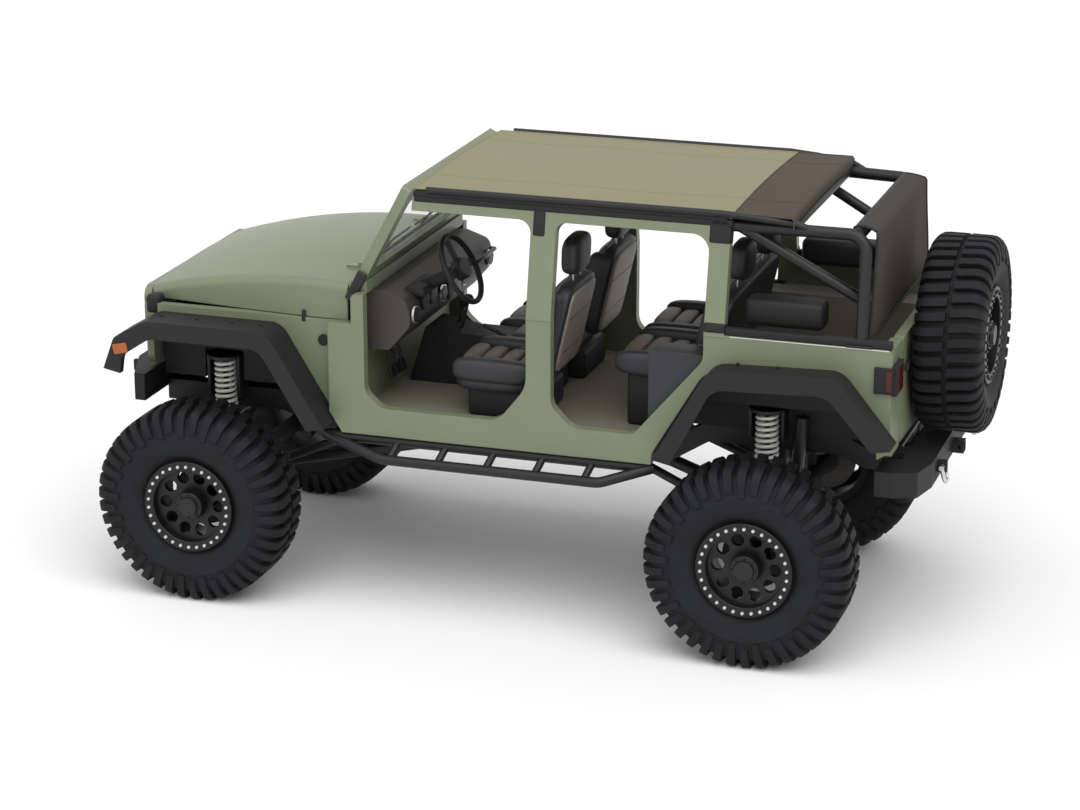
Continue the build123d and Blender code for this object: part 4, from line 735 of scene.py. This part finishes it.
def add_top():
    """Stretched fabric top with a darker rear band of painted shade, seams and hems."""
    half = TOP_HIGH.y
    across = [half * (i / 20 - 1) for i in range(41)]
    along = [TOP_HIGH.x + (TOP_LOW.x - TOP_HIGH.x) * i / 60 for i in range(61)]
    rows = [[(TOP_HIGH.x + 0.008, y, HEADER_Z) for y in across]]
    rows.append([(TOP_HIGH.x + 0.006, y, top_height(TOP_HIGH.x, y) - 0.006) for y in across])
    rows += [[(x, y, top_height(x, y)) for y in across] for x in along]
    for out, down in ((-0.008, 0.012), (-0.01, 0.035), (-0.008, 0.06)):
        rows.append([(TOP_LOW.x + out, y, top_height(TOP_LOW.x, y) - down) for y in across])
    piece = cloth_grid("fabric_top", rows, TOP, "chassis", FABRIC_THICK)
    # faces behind the band take the painted shade
    piece.data.materials.append(TOP_SHADE)
    for face in piece.data.polygons:
        if face.center.x < SHADE_BAND_X:
            face.material_index = 1
    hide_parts("soft_top")
    sage = [x for x in along if x >= SHADE_BAND_X]
    shade_stretch = [x for x in along if x <= SHADE_BAND_X + 0.03]
    edge_hem, seam = (0.006, 0), (0.0025, 0.002)
    lines = [(-half + 0.006, *edge_hem), (half - 0.006, *edge_hem), (-SEAM_Y, *seam), (SEAM_Y, *seam)]
    # seams and hems over the band take its painted shade
    for y, radius, lift in lines:
        for look, stretch in ((TOP, sage), (TOP_SHADE, shade_stretch)):
            points = [(x, y, top_height(x, y) + lift) for x in stretch]
            tube("top_seam", points, radius, look, "chassis")
    band = [(SHADE_BAND_X, y, top_height(SHADE_BAND_X, y) + 0.002) for y in across]
    tube("top_band_seam", band, 0.0035, TOP_SHADE, "chassis")
    front = [(TOP_HIGH.x - 0.004, y, top_height(TOP_HIGH.x, y)) for y in across]
    tube("top_front_hem", front, 0.006, TOP, "chassis")


CURTAIN_LOW, CURTAIN_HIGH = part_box("rear_curtain")
CURTAIN_TOP_HALF = 0.6
# the strip that goes forward over the cage's cross tube: x, half width, z
CURTAIN_WRAP = [
    (-1.797, 0.585, 2.199),
    (-1.77, 0.572, 2.21),
    (-1.735, 0.568, 2.2165),
    (-1.704, 0.568, 2.2195),
    (-1.68, 0.568, 2.21),
    (-1.6705, 0.568, 2.186),
    (-1.68, 0.568, 2.162),
]


def add_curtain():
    """Brown-grey fabric panel across the back of the cage, a little slack, wrapped over the cross tube."""
    rows = []
    middle = (CURTAIN_LOW.x + CURTAIN_HIGH.x) / 2
    for i in range(25):
        up = i / 24
        z = CURTAIN_LOW.z + (CURTAIN_HIGH.z - CURTAIN_LOW.z) * up
        half = CURTAIN_HIGH.y + (CURTAIN_TOP_HALF - CURTAIN_HIGH.y) * up
        row = []
        for j in range(49):
            t = j / 24 - 1
            slack = 0.004 * math.sin(math.pi * up) * math.cos(9 * t + 2 * up)
            row.append((middle + slack, half * t, z))
        rows.append(row)
    for x, half, z in CURTAIN_WRAP:
        rows.append([(x, half * (j / 24 - 1), z) for j in range(49)])
    piece = cloth_grid("rear_fabric", rows, CURTAIN, "chassis", FABRIC_THICK)
    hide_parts("rear_curtain")
    edge = [row[0] for row in rows] + rows[-1][1:]
    edge += [row[-1] for row in reversed(rows[:-1])] + rows[0][-2:0:-1]
    hem = tube("rear_fabric_hem", edge, 0.008, PLASTIC, "chassis", True)


# Small fittings

SHIELD_BASE = Vector((0.888, 0, 1.762))
SHIELD_UP = Vector((-0.258, 0, 0.51)).normalized()
SHIELD_OUT = Vector((SHIELD_UP.z, 0, -SHIELD_UP.x))


def on_shield(across, up, out):
    """A point on the leaning windshield."""
    return SHIELD_BASE + Vector((0, across, 0)) + SHIELD_UP * up + SHIELD_OUT * out


def wiper(start, end):
    """Two ends of a wiper's bar on the windshield."""
    return on_shield(*start), on_shield(*end)


# piece, look, body, both sides, centre, size, edge rounding, turn about y in degrees
BOXES = [
    ("corner_lamps", PLASTIC, "chassis", True, (2.03, 0.702, 1.53), (0.08, 0.088, 0.105), 0.022, 0),
    ("pillar_brackets", STEEL, "chassis", True, (0.872, 0.75, 1.735), (0.055, 0.018, 0.17), 0.006, -27),
    ("belt_trim", PLASTIC, "chassis", True, (-1.51, 0.772, 1.685), (0.84, 0.044, 0.042), 0.008, 0),
    ("belt_lines", SILVER, "chassis", True, (-1.52, 0.8005, 1.664), (0.8, 0.003, 0.005), 0.001, 0),
    ("side_markers", AMBER, "chassis", True, (2.123, 0.954, 1.343), (0.082, 0.012, 0.055), 0.005, 12),
    ("hood_latches", STEEL, "chassis", True, (1.17, 0.738, 1.55), (0.02, 0.016, 0.06), 0.004, 0),
    ("lamp_lenses", RED, "chassis", True, (-1.966, 0.73, 1.515), (0.006, 0.115, 0.115), 0.002, 0),
    ("lamp_lenses", RED, "chassis", True, (-1.926, 0.82, 1.515), (0.03, 0.006, 0.105), 0.002, 0),
    ("cage_feet", STEEL, "chassis", True, (-1.768, 0.77, 1.674), (0.13, 0.075, 0.012), 0.003, 0),
    ("speaker_boxes", PLASTIC, "chassis", True, (-1.36, 0.6, 1.76), (0.4, 0.15, 0.14), 0.03, 0),
    ("grille_screen", STEEL, "chassis", False, (2.07, 0, 1.39), (0.004, 0.64, 0.34), 0.001, 0),
    ("dash_screen", STEEL, "chassis", False, (0.607, 0, 1.575), (0.012, 0.21, 0.125), 0.004, 0),
    ("gauge_hood", PLASTIC, "chassis", False, (0.64, 0.38, 1.66), (0.12, 0.3, 0.05), 0.02, 0),
    ("inside_mirror", PLASTIC, "chassis", False, on_shield(0, 0.44, -0.1), (0.03, 0.22, 0.065), 0.012, 0),
    ("pedals", STEEL, "chassis", False, (0.79, 0.31, 1.2), (0.016, 0.05, 0.07), 0.004, 20),
    ("pedals", STEEL, "chassis", False, (0.79, 0.39, 1.2), (0.016, 0.065, 0.06), 0.004, 20),
    ("pedals", STEEL, "chassis", False, (0.79, 0.47, 1.2), (0.016, 0.05, 0.06), 0.004, 20),
    ("gate_handle", PLASTIC, "tailgate", False, (-1.944, 0.44, 1.5), (0.03, 0.13, 0.04), 0.008, 0),
    ("console_lid", DASH, "chassis", False, (0.13, 0, 1.338), (0.24, 0.2, 0.035), 0.014, 0),
]

# piece, look, body, both sides, start, end, radius
RODS = [
    ("fender_plugs", PLASTIC, "chassis", True, (1.06, 0.74, 1.43), (1.06, 0.752, 1.43), 0.03),
    ("vent_rings", SILVER, "chassis", True, (0.614, 0.59, 1.565), (0.603, 0.59, 1.565), 0.046),
    ("vent_rings", SILVER, "chassis", True, (0.614, 0.165, 1.565), (0.603, 0.165, 1.565), 0.046),
    ("vent_cores", STEEL, "chassis", True, (0.606, 0.59, 1.565), (0.6, 0.59, 1.565), 0.04),
    ("vent_cores", STEEL, "chassis", True, (0.606, 0.165, 1.565), (0.6, 0.165, 1.565), 0.04),
    ("gauges", STEEL, "chassis", False, (0.614, 0.32, 1.6), (0.602, 0.32, 1.6), 0.05),
    ("gauges", STEEL, "chassis", False, (0.614, 0.44, 1.6), (0.602, 0.44, 1.6), 0.05),
    ("levers", STEEL, "chassis", False, (0.56, 0.02, 1.33), (0.52, 0.02, 1.49), 0.008),
    ("levers", STEEL, "chassis", False, (0.6, -0.05, 1.335), (0.575, -0.05, 1.44), 0.007),
    ("levers", STEEL, "chassis", False, (0.3, 0.06, 1.33), (0.42, 0.06, 1.375), 0.011),
    ("pedal_arms", STEEL, "chassis", False, (0.795, 0.31, 1.23), (0.84, 0.31, 1.4), 0.008),
    ("pedal_arms", STEEL, "chassis", False, (0.795, 0.39, 1.23), (0.84, 0.39, 1.4), 0.008),
    ("pedal_arms", STEEL, "chassis", False, (0.795, 0.47, 1.23), (0.84, 0.47, 1.4), 0.008),
    ("wiper_arms", STEEL, "chassis", False, *wiper((0.45, 0.02, 0.012), (0.33, 0.15, -0.004)), 0.006),
    ("wiper_arms", STEEL, "chassis", False, *wiper((-0.1, 0.02, 0.012), (-0.22, 0.15, -0.004)), 0.006),
    ("wiper_arms", STEEL, "chassis", False, *wiper((0.56, 0.145, -0.009), (0.12, 0.155, -0.009)), 0.006),
    ("wiper_arms", STEEL, "chassis", False, *wiper((0.02, 0.145, -0.009), (-0.42, 0.155, -0.009)), 0.006),
    ("turn_lamps", AMBER, "chassis", True, (2.11, 0.57, 1.27), (2.122, 0.57, 1.27), 0.034),
    ("lamp_bezels", STEEL, "chassis", True, (2.112, 0.48, 1.43), (2.121, 0.48, 1.43), 0.108),
    ("rear_dampers", STEEL, "chassis", True, (-1.4, 0.54, 0.66), (-1.44, 0.54, 1.2), 0.032),
    ("curtain_sleeve", PLASTIC, "chassis", False, (-1.704, -0.565, 2.186), (-1.704, 0.565, 2.186), 0.0375),
    ("strikers", STEEL, "chassis", True, (-0.066, 0.775, 1.5), (-0.03, 0.775, 1.5), 0.007),
    ("strikers", STEEL, "chassis", True, (-0.99, 0.775, 1.6), (-0.955, 0.775, 1.6), 0.007),
    ("calipers", STEEL, "knuckle_left", False, (1.626, 0.76, 0.6), (1.626, 0.83, 0.6), 0.05),
    ("calipers_right", STEEL, "knuckle_right", False, (1.626, -0.76, 0.6), (1.626, -0.83, 0.6), 0.05),
    ("boss_cover", DASH, "steering_wheel", False, (0.425, 0.38, 1.773), (0.402, 0.38, 1.785), 0.05),
]

# black rail along the fabric's edge, back to the cage
EDGE_RAIL = [
    (0.5, 0.697, 2.259),
    (-1.05, 0.697, 2.259),
    (-1.2, 0.69, 2.249),
    (-1.4, 0.662, 2.228),
    (-1.47, 0.634, 2.2),
]
# lever knobs: centre, radius
KNOBS = [((0.518, 0.02, 1.5), 0.028), ((0.573, -0.05, 1.448), 0.02)]
# bolts on the flares: axle, height, places ahead of the axle
FLARE_BOLTS = [(FRONT_AXLE_X, 1.504, (0.2, 0.0, -0.2, -0.36)), (REAR_AXLE_X, 1.54, (0.1, -0.1, -0.3))]


def add_fittings():
    """Boxes and round bars from the tables, joined into one piece for each name."""
    meshes = {}
    for name, look, body, twin, centre, size, soft, turn in BOXES:
        mesh, _, _ = meshes.setdefault(name, (bmesh.new(), look, body))
        for side in (1, -1) if twin else (1,):
            at = (centre[0], centre[1] * side, centre[2])
            add_box(mesh, at, size, Matrix.Rotation(math.radians(turn), 4, "Y"), soft)
    for name, look, body, twin, start, end, radius in RODS:
        mesh, _, _ = meshes.setdefault(name, (bmesh.new(), look, body))
        for side in (1, -1) if twin else (1,):
            ends = [(point[0], point[1] * side, point[2]) for point in (start, end)]
            add_rod(mesh, *ends, radius, 28)
    knobs = bmesh.new()
    for centre, radius in KNOBS:
        at = Matrix.Translation(centre)
        bmesh.ops.create_uvsphere(knobs, u_segments=20, v_segments=12, radius=radius, matrix=at)
    meshes["lever_knobs"] = (knobs, PLASTIC, "chassis")
    bolts = bmesh.new()
    for axle_x, z, offsets in FLARE_BOLTS:
        for offset in offsets:
            for y in (0.83, -0.83):
                add_rod(bolts, (axle_x + offset, y, z - 0.006), (axle_x + offset, y, z + 0.004), 0.01, 6)
    meshes["flare_bolts"] = (bolts, STEEL, "chassis")
    for name, (mesh, look, body) in meshes.items():
        smooth(place(name, mesh, look, body), 35)
    seal = []
    for across, up in ((0.64, 0.09), (0.602, 0.48), (-0.602, 0.48), (-0.64, 0.09)):
        seal.append(on_shield(across, up, -0.004))
    tube("shield_seal", seal, 0.008, STEEL, "chassis", True)
    grip = [(0.6, -0.26, 1.62), (0.57, -0.28, 1.625), (0.57, -0.56, 1.625), (0.6, -0.58, 1.62)]
    tube("dash_grip", grip, 0.012, STEEL, "chassis")
    for label, points in zip(("left", "right"), both_sides(EDGE_RAIL)):
        tube(f"edge_rail_{label}", points, 0.018, STEEL, "chassis")


RAIL_HALF = 0.69
PILLAR_LEAN = math.atan2(BODY_HALF - RAIL_HALF, ROOF_Z - BELT_Z)
# black covers on the leaning side frames: rear x, front x, lower z, upper z, thickness
LEANING = [
    (RAIL_LOW.x - 0.03, RAIL_HIGH.x, 2.188, 2.228, 0.064),
    (-0.135, -0.07, 2.07, 2.2, 0.03),
    (-1.094, -0.982, 2.105, 2.226, 0.064),
    (-1.094, -0.984, 1.672, 1.722, 0.064),
]


def add_leaning_covers():
    """Black rail covers, pillar brackets and gussets on the painted side frames."""
    mesh = bmesh.new()
    for rear, front, low, high, thick in LEANING:
        middle = (low + high) / 2
        face_y = RAIL_HALF + math.tan(PILLAR_LEAN) * (ROOF_Z - middle)
        for side in (1, -1):
            centre = ((rear + front) / 2, side * (face_y + 0.006 - thick / 2), middle)
            turn = Matrix.Rotation(side * PILLAR_LEAN, 4, "X")
            add_box(mesh, centre, (front - rear, thick, high - low), turn, 0.012)
    smooth(place("rail_covers", mesh, PLASTIC, "chassis"), 35)


# Wheel houses

# the wheel house's side, x and z, seen between the rear door's opening and the wheel arch
JAMB = [(-0.69, 1.1), (-0.69, 1.536), (-1.03, 1.536), (-1.03, 1.519), (-0.73, 1.1)]
JAMB_Y = (0.722, 0.744)
# rear arch from its front foot to its rear foot: x, z, corner radius
ARCH = [(-0.735, 1.02, 0), (-1.004, 1.476, 0.13), (-1.6, 1.476, 0.13), (-1.861, 1.187, 0)]
LINER_Y = (0.59, 0.802)
# plates that close the arch inwards, above and below the cargo floor
HOUSE_WALL_Y = (0.588, 0.591)
FRAME_WALL_Y = (0.4835, 0.4865)
CARGO_UNDERSIDE = 1.273
RAIL_TOP = 1.09


def prism(mesh, outline, y_low, y_high):
    """A plate on each side of the vehicle: an outline of (x, z) points between two values of y."""
    for side in (1, -1):
        faces = [[mesh.verts.new((x, side * y, z)) for x, z in outline] for y in (y_low, y_high)]
        mesh.faces.new(faces[0])
        mesh.faces.new(faces[1])
        for i in range(len(outline)):
            j = (i + 1) % len(outline)
            mesh.faces.new((faces[0][i], faces[0][j], faces[1][j], faces[1][i]))
    bmesh.ops.recalc_face_normals(mesh, faces=mesh.faces)


def rounded_path(rows, steps=8):
    """Points of (x, z) along rows whose inner corners are rounded to the radius in the third column."""
    points = [rows[0][:2]]
    for before, (x, z, radius), after in zip(rows, rows[1:], rows[2:]):
        corner = Vector((x, z))
        back = (Vector(before[:2]) - corner).normalized()
        ahead = (Vector(after[:2]) - corner).normalized()
        half = back.angle(ahead) / 2
        middle = corner + (back + ahead).normalized() * radius / math.sin(half)
        first = (corner + back * radius / math.tan(half) - middle).normalized()
        last = (corner + ahead * radius / math.tan(half) - middle).normalized()
        for step in range(steps + 1):
            points.append(tuple(middle + first.slerp(last, step / steps) * radius))
    points.append(rows[-1][:2])
    return points


def add_wheel_houses():
    """Dark trim beside the rear seat, and dark liners in the rear arches."""
    trim = bmesh.new()
    prism(trim, JAMB, *JAMB_Y)
    for side in (1, -1):
        add_box(trim, (-0.698, side * 0.639, 1.31), (0.016, 0.205, 0.42), None, 0.006)
        add_box(trim, (-0.83, side * 0.651, 1.5275), (0.28, 0.18, 0.014), None, 0.006)
    smooth(place("wheel_house_trim", trim, SEAT_DARK, "chassis"), 35)
    path = rounded_path(ARCH)
    for label, side in (("left", 1), ("right", -1)):
        rows = [[(x, side * y, z) for x, z in path] for y in LINER_Y]
        cloth_grid(f"arch_liner_{label}", rows, PLASTIC, "chassis", 0.003)
    walls = bmesh.new()
    prism(walls, [(-0.872, 1.253)] + path[1:-1] + [(-1.8, 1.253)], *HOUSE_WALL_Y)
    front, rear = path[0][0], path[-1][0]
    corners = [(front, RAIL_TOP), (front, CARGO_UNDERSIDE), (rear, CARGO_UNDERSIDE), (rear, RAIL_TOP)]
    prism(walls, corners, *FRAME_WALL_Y)
    place("arch_walls", walls, PLASTIC, "chassis")


dress_frame()
add_tyres()
add_wheel_bolts()
add_springs()
add_seats()
add_top()
add_curtain()
add_fittings()
add_leaning_covers()
add_wheel_houses()
aim_camera()
studio()
